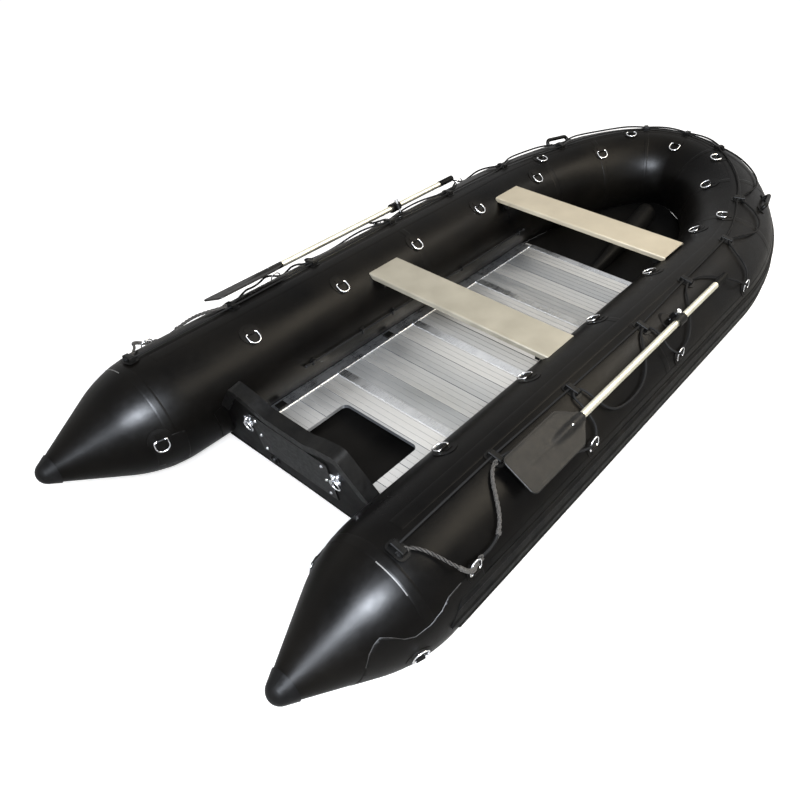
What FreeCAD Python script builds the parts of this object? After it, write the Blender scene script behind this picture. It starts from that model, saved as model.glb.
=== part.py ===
import FreeCAD, Part
import os
from math import asin, cos, degrees, pi, radians, sin, sqrt, tan

# Inflatable sport boat with a sectional aluminium floor, a soft V bottom and a wooden transom.
# Millimetres, +X to the bow, +Y to port, +Z up.
# Lengths along the boat are measured forward from the tips of the stern cones.
# The finished pieces are then moved so that the origin is under the middle of the boat.

os.makedirs("parts", exist_ok=True)
V = FreeCAD.Vector

# Buoyancy tubes
tube_diameter = 500.0
tube_spacing = 1324.0
bow_curve_start = 2850.0
nose_axis = 3968.0
bow_rise = 105.0
bow_rise_start = 3000.0
bow_taper = 20.0
bow_chamber_start = 2016.0
section_pitch = 160.0
cone_tip_radius = 43.0
cone_half_angle = 28.1
cone_blend_radius = 589.0
cap_length = 62.0
cap_wall = 4.0

# Transom
transom_top = 430.0
transom_bottom = 80.0
transom_stern = 661.6
transom_rake = 11.3
transom_thickness = 45.0
well_half_width = 115.0
well_slope_run = 70.0
well_slope_rise = 28.0
shoulder_half_width = 285.0
shoulder_rise = 49.0
shoulder_round = 35.0
shoulder_foot_half_width = 417.0
shoulder_foot_drop = 130.0
well_round = 120.0
transom_cap_height = 34.0
transom_cap_wall = 6.0
motor_plate_width = 430.0
motor_plate_height = 230.0
motor_plate_thickness = 5.0
motor_plate_drop = 8.0
flange_width = 55.0
flange_thickness = 4.0

# Floor
floor_top = 103.0
floor_thickness = 18.0
floor_aft = 780.0
floor_front = 2958.0
floor_panels = 4
panel_joint_width = 46.0
panel_joint_gap = 23.0
notch_front = 1176.0
notch_half_width = 217.0
notch_corner = 30.0
planks_per_panel = 4
ribs_per_plank = 4
groove_width = 6.0
groove_depth = 3.0
rib_width = 4.0
rib_depth = 1.2
joint_flange = 2.5
joint_play = 1.0
front_channel = 34.0
stringer_wall = 4.0
stringer_joint = 1698.0
stringer_joint_gap = 2.0
stringer_width = 60.0
stringer_aft = 800.0
stringer_fore = 2936.0
stringer_below = 4.0
panel_tuck = 42.0
seat_gap = 0.3
skin_gap = 0.9
tube_fit_gap = 0.7
stringer_gap = 2.1

# Seats
seat_width = 207.0
seat_thickness = 24.0
seat_sheet = 3.0
seat_corner = 8.0
seat_rear = 1655.0
seat_rear_drop = 51.0
seat_rear_cover = 25.0
seat_front = 2701.0
seat_front_drop = 34.0
seat_front_cover = 13.0
holder_length = 150.0
holder_height = 60.0
holder_depth = 21.0

# Bottom and keel
fabric_thickness = 5.0
bottom_attach_angle = 47.0
bottom_fair_length = 420.0
bottom_slack = 5.0
nose_seam_gap = 2.6
hull_pitch = 80.0
keel_ground_gap = 1.5
keel_rise_start = 2940.0
keel_rise_power = 1.8
keel_strake_width = 60.0
keel_strake_thickness = 6.0
keel_strake_end_share = 0.94
keel_tube_end_share = 0.62
keel_tube_grow_share = 0.45
keel_nose_radius = 62.0
keel_play = 6.0

# Oars
oar_shaft_radius = 15.0
oar_shaft_aft = 1383.0
oar_shaft_fore = 2566.0
oar_blade_length = 410.0
oar_blade_width = 165.0
oar_blade_thickness = 8.0
blade_shoulder = 92.0
blade_neck = 21.0
blade_socket_length = 150.0
blade_corner = 26.0
grip_length = 120.0
grip_radius = 17.0
oar_height = 42.0
oar_pivot = 2190.0
pin_angle = 63.0
shaft_offset = 30.0
collar_radius = 24.0
collar_length = 60.0
collar_lug_radius = 15.0
collar_lug_height = 31.0
oarlock_pin_radius = 6.0
oarlock_pin_head = 11.0
oarlock_base_radius = 62.0
oarlock_base_top_radius = 38.0
oarlock_base_height = 14.5
oarlock_base_sink = 12.0
oarlock_play = 4.0

# Rubbing strake
strake_low_angle = -15.0
strake_high_angle = 18.0
strake_start = 516.0
strake_point_run = 66.0
strake_pitch = 75.0
strake_band = 3.5
strake_ridge = 8.0
strake_ridge_share = 0.07
strake_ridge_places_share = (0.14, 0.5, 0.86)
strake_back_steps = 8

# Rings on pads
pad_radius = 48.0
pad_thickness = 2.5
pad_gap = 0.5
tab_width = 32.0
tab_wall = 2.2
ring_width = 56.0
ring_length = 50.0
ring_wire_radius = 3.0
ring_corner = 8.0
ring_play = 0.9
ring_lean_angle = -1.0
ring_lift = 1.0
ring_row_angle = 122.0
ring_row_start = 950.0
ring_row_pitch = 532.0
ring_row_count = 6
nose_ring_angle = 118.0
top_ring_angle = 97.0
top_ring_places_share = (0.747, 0.905)
low_pad_radius = 36.0
low_ring_angle = 27.5
low_ring_start = 664.0
low_ring_pitch = 727.0
low_ring_count = 4
low_ring_lean_angle = -24.0
cone_ring_place = 399.0
cone_outer_ring_angle = -11.0
cone_inner_ring_angle = 168.0

# Ropes and their holders
rope_radius = 5.0
rope_holder_angles_share = (0.433, 0.439, 0.428, 0.422, 0.444, 0.456, 0.489, 0.467)
rope_holder_places_share = (0.1158, 0.2329, 0.3457, 0.4752, 0.5833, 0.6932, 0.7901, 0.9327)
nose_holder_angle = 84.0
holder_pad_width = 80.0
holder_pad_length = 54.0
holder_bridge_width = 58.0
holder_bridge_length = 26.0
holder_bridge_height = 20.0
holder_slot_width = 48.0
holder_slot_height = 15.5
pad_corner_share = 0.75
bridge_round_share = 0.1
arc_share = 0.45
top_line_radius = 4.0
line_end_step = 6.0
line_side_step = 10.0
inner_line_angle = 181.0
inner_line_radius = 4.0
inner_line_places_share = (0.273, 0.348, 0.398, 0.528, 0.654)
inner_line_overrun = 45.0
inner_line_height = 8.5
line_eye_length = 14.0
line_eye_width = 26.0
line_eye_height = 16.0
line_eye_slot = 17.0
line_eye_play = 0.6
knot_radius = 8.0

# Small fittings
handle_aft = 3392.0
handle_fore = 3532.0
handle_aft_angle = 57.0
handle_fore_angle = 49.0
handle_foot_radius = 27.0
handle_bar_radius = 11.0
handle_height = 34.0
handle_bend = 20.0
eye_half_spacing = 244.0
eye_drop = 107.0
eye_plate_radius = 27.0
eye_plate_thickness = 4.0
eye_radius = 17.0
eye_wire_radius = 4.0
eye_ring_radius = 25.0
drain_side = 170.0
drain_drop = 312.0
drain_flange_radius = 27.0
drain_cap_radius = 19.0
drain_cap_height = 15.0
clip_length = 46.0
clip_width = 26.0
clip_height = 10.0
clip_places_share = (0.08, 0.415)

# Values that follow from the ones above
tube_radius = tube_diameter / 2
half_spacing = tube_spacing / 2
cone_angle = radians(cone_half_angle)
line_start = cone_tip_radius * (1 - sin(cone_angle))
line_radius = cone_tip_radius * cos(cone_angle)
blend_drop = cone_blend_radius * (1 - cos(cone_angle))
blend_run = cone_blend_radius * sin(cone_angle)
cone_length = line_start + (tube_radius - blend_drop - line_radius) / tan(cone_angle) + blend_run
bow_reach = nose_axis - bow_curve_start
curve_length = pi / 2 * sqrt((bow_reach ** 2 + half_spacing ** 2) / 2)
nose_station = bow_curve_start + curve_length

nodes = {}


def mirrored(shape):
    """The same piece on the starboard side."""
    return shape.mirror(V(0, 0, 0), V(0, 1, 0))


def both(shape):
    """One shape of separate solids, to port and to starboard."""
    return Part.makeCompound([shape, mirrored(shape)])


# Path of the tubes

def bow_share(station):
    """How far round the bow a station lies: 0 where the curve starts and 1 at the nose."""
    return min(max((station - bow_curve_start) / curve_length, 0), 1)


def axis_point(station):
    """Point of the port tube's axis, with the station measured along the tube from the cone tip."""
    along = bow_share(station) * pi / 2
    x = min(station, bow_curve_start) + bow_reach * sin(along)
    y = half_spacing * cos(along)
    lift = max(0, (x - bow_rise_start) / (nose_axis - bow_rise_start))
    return V(x, y, tube_radius + bow_rise * lift ** 2)


def radius_at(station):
    """Radius of the tube at a station: round the bow it tapers towards the nose."""
    return tube_radius - bow_taper * bow_share(station) ** 2


def frame_at(station):
    """Axis point, forward direction, outboard direction and upward direction of the port tube."""
    step = tube_radius / 1000
    ahead = axis_point(min(station + step, nose_station))
    behind = axis_point(min(station + step, nose_station) - 2 * step)
    forward = (ahead - behind).normalize()
    if station >= nose_station:
        forward = V(0, -1, 0)
    if station <= bow_curve_start:
        forward = V(1, 0, 0)
    outboard = forward.cross(V(0, 0, 1)).normalize() * -1
    return axis_point(station), forward, outboard, outboard.cross(forward).normalize() * -1


def flipped(vector):
    return V(vector.x, -vector.y, vector.z)


def on_tube(station, angle, height=0):
    """Point above the tube's skin, its normal and the direction forward.

    Angle 0 is outboard and 90 is on top. Past the nose the starboard side is meant.
    """
    if station > nose_station:
        point, normal, forward = on_tube(2 * nose_station - station, angle, height)
        return flipped(point), flipped(normal), flipped(forward) * -1
    centre, forward, outboard, up = frame_at(station)
    normal = outboard * cos(radians(angle)) + up * sin(radians(angle))
    return centre + normal * (radius_at(station) + height), normal, forward


def circle_wire(centre, normal, start, radius):
    circle = Part.Circle(centre, normal, radius)
    circle.XAxis = start
    return Part.Wire([circle.toShape()])


# Tubes

def stern_profile(growth=0):
    """Half outline of a stern cone in the XZ plane, from its tip to the tube, grown all round."""
    tip_centre = V(cone_tip_radius, 0, 0)
    blend_centre = V(cone_length, 0, tube_radius - cone_blend_radius)
    tip_round, blend_round = cone_tip_radius + growth, cone_blend_radius + growth

    def out(turn):
        return V(-sin(turn), 0, cos(turn))

    tip_point = tip_centre + out(pi / 2) * tip_round
    tip_side = tip_centre + out(cone_angle) * tip_round
    tip_middle = tip_centre + out((pi / 2 + cone_angle) / 2) * tip_round
    blend_start = blend_centre + out(cone_angle) * blend_round
    blend_middle = blend_centre + out(cone_angle / 2) * blend_round
    blend_end = blend_centre + out(0) * blend_round
    foot = V(cone_length, 0, 0)
    edges = [Part.Arc(tip_point, tip_middle, tip_side).toShape(),
             Part.LineSegment(tip_side, blend_start).toShape(),
             Part.Arc(blend_start, blend_middle, blend_end).toShape(),
             Part.LineSegment(blend_end, foot).toShape(),
             Part.LineSegment(foot, tip_point).toShape()]
    return Part.Face(Part.Wire(edges))


def stern_cone(growth=0):
    cone = stern_profile(growth).revolve(V(0, 0, 0), V(1, 0, 0), 360)
    return cone.translated(V(0, half_spacing, tube_radius))


def cone_cap(cone):
    """Moulded end cap that is drawn over the tip of a cone."""
    reach = tube_radius
    front = Part.makeBox(reach + cap_length, 2 * reach, 2 * reach, V(-reach, half_spacing - reach, 0))
    return stern_cone(cap_wall).common(front).cut(cone)


def side_tube():
    length = bow_chamber_start - cone_length
    return Part.makeCylinder(tube_radius, length, V(cone_length, half_spacing, tube_radius), V(1, 0, 0))


def even_steps(start, end, pitch=section_pitch):
    """Evenly spaced stations for lofted sections, without the last one."""
    steps = max(2, round((end - start) / pitch))
    return [start + (end - start) * i / steps for i in range(steps)]


curve_stations = even_steps(bow_curve_start, nose_station) + [nose_station]
bow_stations = even_steps(bow_chamber_start, bow_curve_start) + curve_stations


def bow_tube():
    """One chamber round the bow: two straight ends and a loft square to the rising axis between them."""
    port = [circle_wire(*frame_at(s)[:3], radius_at(s)) for s in curve_stations]
    star = []
    for s in reversed(curve_stations[:-1]):
        centre, forward, outboard, up = frame_at(s)
        star.append(circle_wire(flipped(centre), flipped(forward) * -1, flipped(outboard), radius_at(s)))
    straight = Part.makeCylinder(tube_radius, bow_curve_start - bow_chamber_start,
                                 V(bow_chamber_start, half_spacing, tube_radius), V(1, 0, 0))
    return Part.makeLoft(port + star, True, False).fuse([straight, mirrored(straight)])


cone = stern_cone()
nodes["cone_port"] = cone
nodes["cone_starboard"] = mirrored(cone)
nodes["cone_caps"] = both(cone_cap(cone))
nodes["tube_port"] = side_tube()
nodes["tube_starboard"] = mirrored(side_tube())
nodes["bow_tube"] = bow_tube()


# Hull bottom

keel_base = keel_ground_gap + keel_strake_thickness
rake = radians(transom_rake)
bottom_stern = transom_stern + (transom_top - transom_bottom) * tan(rake)
seam_angle = 180 + bottom_attach_angle
seam_step = degrees(fabric_thickness / tube_radius)


def smooth(share):
    share = min(max(share, 0), 1)
    return share * share * (3 - 2 * share)


def seam_points(station):
    """Lower and upper edge of the bottom skin where it meets the port tube."""
    gap = skin_gap + (nose_seam_gap - skin_gap) * bow_share(station)
    return (on_tube(station, seam_angle + seam_step / 2, gap)[0],
            on_tube(station, seam_angle - seam_step / 2, gap)[0])


nose_seam = seam_points(nose_station)[0]


def keel_height(x):
    """Underside of the bottom skin on the centreline."""
    fair = 1 - smooth((x - bottom_stern - transom_thickness) / bottom_fair_length)
    rise = max(0, (x - keel_rise_start) / (nose_seam.x - keel_rise_start)) ** keel_rise_power
    stern_lift = transom_bottom - bottom_slack - fabric_thickness - keel_base
    return keel_base + fair * stern_lift + rise * (nose_seam.z - keel_base)


def keel_slope(station):
    """Rise of the bottom skin for each unit of width at a station."""
    low = seam_points(station)[0]
    return (low.z - keel_height(low.x)) / low.y


def bottom_section(station, flat):
    """Closed V section of the bottom skin between its seams on the tubes."""
    low, high = seam_points(station)
    if flat:
        high = V(low.x, high.y, high.z)
    keel = V(low.x, 0, keel_height(low.x))
    thick = V(0, 0, fabric_thickness)
    return Part.makePolygon([low, keel, flipped(low), flipped(high), keel + thick, high, low])


hull_stations = even_steps(bottom_stern, bow_chamber_start, hull_pitch) + bow_stations[:-1]


def hull_bottom():
    sections = [bottom_section(s, s == hull_stations[-1]) for s in hull_stations]
    return Part.makeLoft(sections, True, False)


nodes["hull_bottom"] = hull_bottom()


# Floor

def wall_y(height, gap=0):
    """Distance from the centreline to the inner wall of a side tube at a height."""
    return half_spacing - sqrt((tube_radius + gap) ** 2 - (tube_radius - height) ** 2)


def block(x0, x1, y0, y1, z0, z1):
    return Part.makeBox(x1 - x0, y1 - y0, z1 - z0, V(x0, y0, z0))


floor_underside = floor_top - floor_thickness
stringer_base = floor_underside - stringer_below
stringer_outer = min(wall_y(stringer_base, stringer_gap), wall_y(floor_top + stringer_wall, stringer_gap))
floor_half_width = stringer_outer - stringer_width
panel_half_width = floor_half_width + panel_tuck


def rounded_notch():
    depth = notch_front - floor_aft + panel_joint_width
    cut = block(notch_front - depth, notch_front, -notch_half_width, notch_half_width,
                floor_underside - floor_thickness, floor_top + floor_thickness)
    upright = [e for e in cut.Edges if e.BoundBox.XMin > floor_aft and e.BoundBox.ZLength > floor_thickness]
    return cut.makeFillet(notch_corner, upright)


def plank_grooves(start):
    """Cuts between the planks of one panel, with shallow ribs along each plank."""
    step = panel_pitch / planks_per_panel
    cuts = []
    for i in range(planks_per_panel):
        if i:
            x = start + step * i
            cuts.append(block(x - groove_width / 2, x + groove_width / 2, -panel_half_width,
                              panel_half_width, floor_top - groove_depth, floor_top + groove_depth))
        for j in range(1, ribs_per_plank):
            x = start + step * (i + j / ribs_per_plank)
            cuts.append(block(x - rib_width / 2, x + rib_width / 2, -panel_half_width, panel_half_width,
                              floor_top - rib_depth, floor_top + rib_depth))
    return cuts


panel_pitch = (floor_front - floor_aft) / floor_panels
for i in range(floor_panels):
    x0 = floor_aft + panel_pitch * i + (panel_joint_gap / 2 if i else 0)
    x1 = floor_aft + panel_pitch * (i + 1) - (panel_joint_gap / 2 if i < floor_panels - 1 else 0)
    panel = block(x0, x1, -panel_half_width, panel_half_width, floor_underside, floor_top)
    if i == 0:
        panel = panel.cut(rounded_notch())
    nodes["floor_panel_" + str(i + 1)] = panel.cut(plank_grooves(floor_aft + panel_pitch * i))


def floor_joint(x):
    """Bar between two floor panels, with flanges over and under their edges."""
    half = panel_joint_width / 2
    web = block(x - panel_joint_gap / 2 + seat_gap, x + panel_joint_gap / 2 - seat_gap, -floor_half_width,
                floor_half_width, floor_underside - joint_flange, floor_top + joint_flange)
    top = block(x - half, x + half, -floor_half_width + joint_play, floor_half_width - joint_play,
                floor_top + seat_gap, floor_top + joint_flange)
    low = block(x - half, x + half, -floor_half_width + joint_play, floor_half_width - joint_play,
                floor_underside - joint_flange, floor_underside - seat_gap)
    sides = []
    for edge in (-floor_half_width, floor_half_width):
        sides.append(block(x - half, x + half, edge - joint_play, edge + joint_play,
                           floor_underside - 2 * joint_flange, floor_top + 2 * joint_flange))
    return web.fuse([top, low]).cut(sides)


def floor_front_edge():
    """Channel along the front edge of the floor."""
    reach = floor_front + joint_flange + seat_gap
    half = floor_half_width - joint_play
    body = block(floor_front - front_channel, reach, -half, half,
                 floor_underside - joint_flange, floor_top + joint_flange)
    room = block(floor_aft, floor_front + seat_gap, -half_spacing, half_spacing,
                 floor_underside - seat_gap, floor_top + seat_gap)
    return body.cut(room)


nodes["floor_joints"] = Part.makeCompound(
    [floor_joint(floor_aft + panel_pitch * i) for i in range(1, floor_panels)])
nodes["floor_front_edge"] = floor_front_edge()


def stringer():
    """Side rail of the floor in two lengths, with a slot for the panels."""
    top = floor_top + stringer_wall
    base = block(stringer_aft, stringer_fore, floor_half_width, stringer_outer, stringer_base, top)
    slot = block(stringer_aft, stringer_fore, floor_half_width, panel_half_width,
                 floor_underside, floor_top)
    split = block(stringer_joint, stringer_joint + stringer_joint_gap, 0, half_spacing, 0, tube_diameter)
    return base.cut([slot, split])


def stringer_clip(x):
    """Moulded clip that locks the rail, half on the rail and half on the panel."""
    top = floor_top + stringer_wall
    rail = floor_half_width + stringer_width / 2
    body = block(x - clip_length / 2, x + clip_length / 2, rail - clip_width, rail + clip_width / 2,
                 top + seat_gap, top + clip_height)
    upper = [e for e in body.Edges if e.BoundBox.ZMin > top + clip_height / 2]
    return body.makeFillet(clip_height / 3, upper)


nodes["stringer_port"] = stringer()
nodes["stringer_starboard"] = mirrored(stringer())
rail_length = stringer_fore - stringer_aft
clips = [stringer_clip(stringer_aft + rail_length * share) for share in clip_places_share]
nodes["stringer_clips"] = Part.makeCompound(clips + [mirrored(clip) for clip in clips])

# Transom

def raked(shape):
    """Turns a piece built upright at the transom's top stern edge to the transom's rake."""
    shape.rotate(V(0, 0, 0), V(0, 1, 0), -transom_rake)
    return shape.translated(V(transom_stern, 0, transom_top))


def rounded_wire(points, rounds, closed=False):
    """Straight runs through the points, joined by tangent arcs of the given radii."""
    count = len(points)
    corners = range(count) if closed else range(1, count - 1)
    starts, ends, arcs = {}, {}, {}
    for i in corners:
        here, before, after = points[i], points[i - 1], points[(i + 1) % count]
        back, ahead = (before - here).normalize(), (after - here).normalize()
        starts[i] = ends[i] = here
        if rounds[i] <= 0:
            continue
        half = back.getAngle(ahead) / 2
        reach = rounds[i] / tan(half)
        centre = here + (back + ahead).normalize() * (rounds[i] / sin(half))
        starts[i], ends[i] = here + back * reach, here + ahead * reach
        middle = centre + (here - centre).normalize() * rounds[i]
        arcs[i] = Part.Arc(starts[i], middle, ends[i]).toShape()
    edges = []
    for i in range(count if closed else count - 1):
        after = (i + 1) % count
        edges.append(Part.LineSegment(ends.get(i, points[i]), starts.get(after, points[after])).toShape())
        if after in arcs:
            edges.append(arcs[after])
    return Part.Wire(edges)


def swept(path, radius):
    """Round wire or rope along a path."""
    first = path.Edges[0]
    start = first.valueAt(first.FirstParameter)
    profile = Part.Wire([Part.makeCircle(radius, start, first.tangentAt(first.FirstParameter))])
    return path.makePipeShell([profile], True, False)


def transom_face():
    """Outline of the board, seen from astern: a low motor well between two sloping shoulders."""
    fall = shoulder_foot_drop + shoulder_rise
    fall_reach = (half_spacing - shoulder_half_width) / (shoulder_foot_half_width - shoulder_half_width)
    fall_end = shoulder_rise - fall * fall_reach
    board_low = (transom_bottom - transom_top) / cos(rake) - transom_thickness
    half = [(well_half_width, 0, well_round),
            (well_half_width + well_slope_run, well_slope_rise, well_round),
            (shoulder_half_width, shoulder_rise, shoulder_round),
            (half_spacing, fall_end, 0),
            (half_spacing, min(board_low, fall_end) - transom_thickness, 0)]
    outline = half + [(-y, z, r) for y, z, r in reversed(half)]
    return Part.Face(rounded_wire([V(0, y, z) for y, z, r in outline], [r for y, z, r in outline], True))


def grown_tube(growth):
    """A straight stretch of the port tube's envelope, for fitting pieces against it."""
    start = V(cone_length, half_spacing, tube_radius)
    return Part.makeCylinder(tube_radius + growth, floor_front - cone_length, start, V(1, 0, 0))


fit_port = grown_tube(tube_fit_gap)
fits = [fit_port, mirrored(fit_port)]
board_face = transom_face()
board = raked(board_face.extrude(V(transom_thickness, 0, 0)))
below = block(0, floor_front, -half_spacing, half_spacing, transom_bottom - tube_diameter, transom_bottom)
nodes["transom_board"] = board.cut(fits + [below])


def transom_cap():
    """Moulded edge that is pressed over the top of the board from shoulder to shoulder."""
    wall = V(transom_cap_wall, 0, 0)
    through = V(transom_thickness, 0, 0)
    outer = board_face.makeOffset2D(transom_cap_wall).extrude(through + 2 * wall).translated(-wall)
    inner = board_face.makeOffset2D(-transom_cap_height).extrude(through + 4 * wall).translated(-2 * wall)
    rim = outer.cut([inner, board_face.extrude(through)])
    low = block(-transom_thickness, 2 * transom_thickness, -tube_spacing, tube_spacing,
                -tube_spacing, -shoulder_foot_drop)
    return raked(rim.cut(low)).cut(fits)


nodes["transom_cap"] = transom_cap()
plate_top = -transom_cap_height - motor_plate_drop
stern_plate = block(-motor_plate_thickness, 0, -motor_plate_width / 2, motor_plate_width / 2,
                    plate_top - motor_plate_height, plate_top)
fore_plate = stern_plate.translated(V(transom_thickness + motor_plate_thickness, 0, 0))
nodes["motor_plates"] = Part.makeCompound([raked(stern_plate), raked(fore_plate)])


def transom_flanges():
    """Strips glued to the port tube on both faces of the board."""
    sleeve = grown_tube(flange_thickness).cut(grown_tube(seat_gap))
    top = -shoulder_foot_drop
    fore = transom_thickness
    slabs = [block(-flange_width, -seat_gap, 0, half_spacing, -tube_diameter, top),
             block(fore + seat_gap, fore + flange_width, 0, half_spacing, -tube_diameter, top)]
    low = block(0, floor_front, -half_spacing, half_spacing, -tube_diameter, floor_top + 2 * stringer_wall)
    return [raked(slab).common(sleeve).cut(low) for slab in slabs]


port_flanges = transom_flanges()
nodes["transom_flanges"] = Part.makeCompound(port_flanges + [mirrored(f) for f in port_flanges])

# Seats

rear_top = tube_diameter - seat_rear_drop
front_top = tube_diameter - seat_front_drop
rear_half_length = wall_y(rear_top - seat_thickness) + seat_rear_cover
front_half_length = wall_y(front_top - seat_thickness) + seat_front_cover


def seat(x0, top, half_length):
    """Folded sheet board whose ends are trimmed to rest on the tubes."""
    body = block(x0, x0 + seat_width, -half_length, half_length, top - seat_thickness, top)
    upper = [e for e in body.Edges if e.BoundBox.ZMin > top - seat_sheet]
    folds = [e for e in upper if e.BoundBox.YLength > half_length]
    body = body.makeFillet(seat_corner, folds)
    room = block(x0 + seat_sheet, x0 + seat_width - seat_sheet, -half_length, half_length,
                 top - seat_thickness, top - seat_sheet)
    return body.cut([room] + fits)


def seat_holders(x0, top, half_length):
    """Bracket between the port tube and the underside of the seat."""
    middle = x0 + seat_width / 2
    low = top - seat_sheet - holder_height
    inner = wall_y(low) - holder_depth
    half = holder_length / 2
    return block(middle - half, middle + half, inner, half_length, low, top - seat_sheet).cut(fit_port)


nodes["seat_rear"] = seat(seat_rear, rear_top, rear_half_length)
nodes["seat_front"] = seat(seat_front, front_top, front_half_length)
nodes["seat_rear_holders"] = both(seat_holders(seat_rear, rear_top, rear_half_length))
nodes["seat_front_holders"] = both(seat_holders(seat_front, front_top, front_half_length))

# Keel

def keel_tube():
    """Inflated keel that lies in the V under the floor and swells ahead of it."""
    sections = []
    room = floor_underside - keel_base - fabric_thickness
    aft_radius = (room - keel_play) / (1 + sqrt(1 + keel_slope(bow_chamber_start) ** 2))
    last = bow_curve_start + curve_length * keel_tube_end_share
    for station in [s for s in hull_stations if notch_front + panel_joint_width < s <= last]:
        x = seam_points(station)[0].x
        grow = smooth((x - floor_front) / (bow_reach * keel_tube_grow_share))
        radius = aft_radius + (keel_nose_radius - aft_radius) * grow
        lean = sqrt(1 + keel_slope(station) ** 2)
        z = keel_height(x) + (fabric_thickness + skin_gap + radius) * lean
        sections.append(circle_wire(V(x, 0, z), V(1, 0, 0), V(0, 0, 1), radius))
    return Part.makeLoft(sections, True, False)


def keel_strake():
    """Rubber wear strip under the keel."""
    sections = []
    half = keel_strake_width / 2
    last = bow_curve_start + curve_length * keel_strake_end_share
    for station in [s for s in hull_stations if bottom_stern + bottom_fair_length < s <= last]:
        x = seam_points(station)[0].x
        z = keel_height(x) - skin_gap
        side = z + keel_slope(station) * half
        low = z - keel_strake_thickness + skin_gap
        sections.append(Part.makePolygon([V(x, 0, z), V(x, half, side), V(x, half / 2, low),
                                          V(x, -half / 2, low), V(x, -half, side), V(x, 0, z)]))
    return Part.makeLoft(sections, True, False)


nodes["keel_tube"] = keel_tube()
nodes["keel_strake"] = keel_strake()

# Oars

pin_foot, pin_axis = on_tube(oar_pivot, pin_angle)[:2]
oar_turn = pin_foot + pin_axis * oar_height


def placed(shape, point, normal, forward):
    """Moves a piece built at the origin: X goes forward, Z away from the skin, Y outboard and down."""
    across = normal.cross(forward)
    there = FreeCAD.Placement(FreeCAD.Matrix(
        forward.x, across.x, normal.x, point.x, forward.y, across.y, normal.y, point.y,
        forward.z, across.z, normal.z, point.z, 0, 0, 0, 1))
    moved = shape.copy()
    moved.Placement = there.multiply(shape.Placement)
    return moved


def at_oarlock(shape):
    return placed(shape, pin_foot, pin_axis, V(1, 0, 0))


def blade_face():
    """Outline of the oar blade: pointed towards the shaft, straight sides and rounded end corners."""
    half = oar_blade_width / 2
    root = oar_shaft_aft - oar_pivot
    tip = root - oar_blade_length
    side = root - blade_shoulder
    half_outline = [(root, blade_neck, 0), (side, half, blade_corner), (tip, half, blade_corner)]
    outline = half_outline + [(x, -y, r) for x, y, r in reversed(half_outline)]
    z = oar_height - oar_blade_thickness / 2
    points = [V(x, shaft_offset + y, z) for x, y, r in outline]
    return Part.Face(rounded_wire(points, [r for x, y, r in outline], True))


def oar_pieces():
    """Shaft, blade, grip and collar of one oar, about its pin."""
    aft, fore = oar_shaft_aft - oar_pivot, oar_shaft_fore - oar_pivot
    line = V(1, 0, 0)

    def rod(radius, start, length):
        return Part.makeCylinder(radius, length, V(start, shaft_offset, oar_height), line)

    socket = rod(oar_shaft_radius, aft - blade_socket_length, blade_socket_length)
    ring = rod(collar_radius, -collar_length / 2, collar_length)
    lug_base = oar_height - collar_lug_height / 2
    lug = Part.makeCylinder(collar_lug_radius, collar_lug_height, V(0, 0, lug_base))
    web = Part.makeBox(collar_radius, shaft_offset, collar_lug_height, V(-collar_radius / 2, 0, lug_base))
    bore = rod(oar_shaft_radius + skin_gap / 3, -collar_length, collar_length * 2)
    pin_hole = Part.makeCylinder(oarlock_pin_radius + seat_gap, oar_height * 2)
    return {"shaft": rod(oar_shaft_radius, aft, fore - aft),
            "blade": blade_face().extrude(V(0, 0, oar_blade_thickness)).fuse(socket),
            "grip": rod(grip_radius, fore, grip_length),
            "collar": ring.fuse([lug, web]).cut([bore, pin_hole])}


def oarlock():
    """Base pad glued to the tube and the headed pin that stands on it."""
    boss_top = oar_height - collar_radius - oarlock_play
    pin_top = oar_height + collar_radius + seat_gap
    foot = Part.makeCone(oarlock_base_radius, oarlock_base_top_radius, oarlock_base_height,
                         V(0, 0, -oarlock_base_sink))
    boss = Part.makeCylinder(oarlock_pin_head, boss_top)
    pin = Part.makeCylinder(oarlock_pin_radius, pin_top - boss_top, V(0, 0, boss_top))
    head = Part.makeCylinder(oarlock_pin_head, oarlock_pin_head, V(0, 0, pin_top))
    skin = grown_tube(seat_gap)
    return at_oarlock(foot.fuse(boss)).cut(skin), at_oarlock(pin.fuse(head))


base, pin = oarlock()
for side, turn in (("port", lambda s: s), ("starboard", mirrored)):
    nodes["oarlock_base_" + side] = turn(base)
    nodes["oarlock_pin_" + side] = turn(pin)
    for name, shape in oar_pieces().items():
        nodes["oar_" + name + "_" + side] = turn(at_oarlock(shape))

# Rubbing strake

def strake_outline(station):
    """Ribbed band on the outer side of the port tube, as a closed wire with a back of short flats."""
    span = strake_high_angle - strake_low_angle
    edge = strake_ridge_share / 4

    def at(share, height):
        return on_tube(station, strake_low_angle + span * share, height)[0]

    face = [at(0, strake_band / 2), at(edge, strake_band)]
    for place in strake_ridge_places_share:
        face += [at(place - strake_ridge_share, strake_band), at(place - edge, strake_ridge),
                 at(place + edge, strake_ridge), at(place + strake_ridge_share, strake_band)]
    face += [at(1 - edge, strake_band), at(1, strake_band / 2)]
    back = [at(i / strake_back_steps, skin_gap) for i in range(strake_back_steps + 1)]
    return Part.makePolygon([back[0]] + face + back[::-1])


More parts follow.
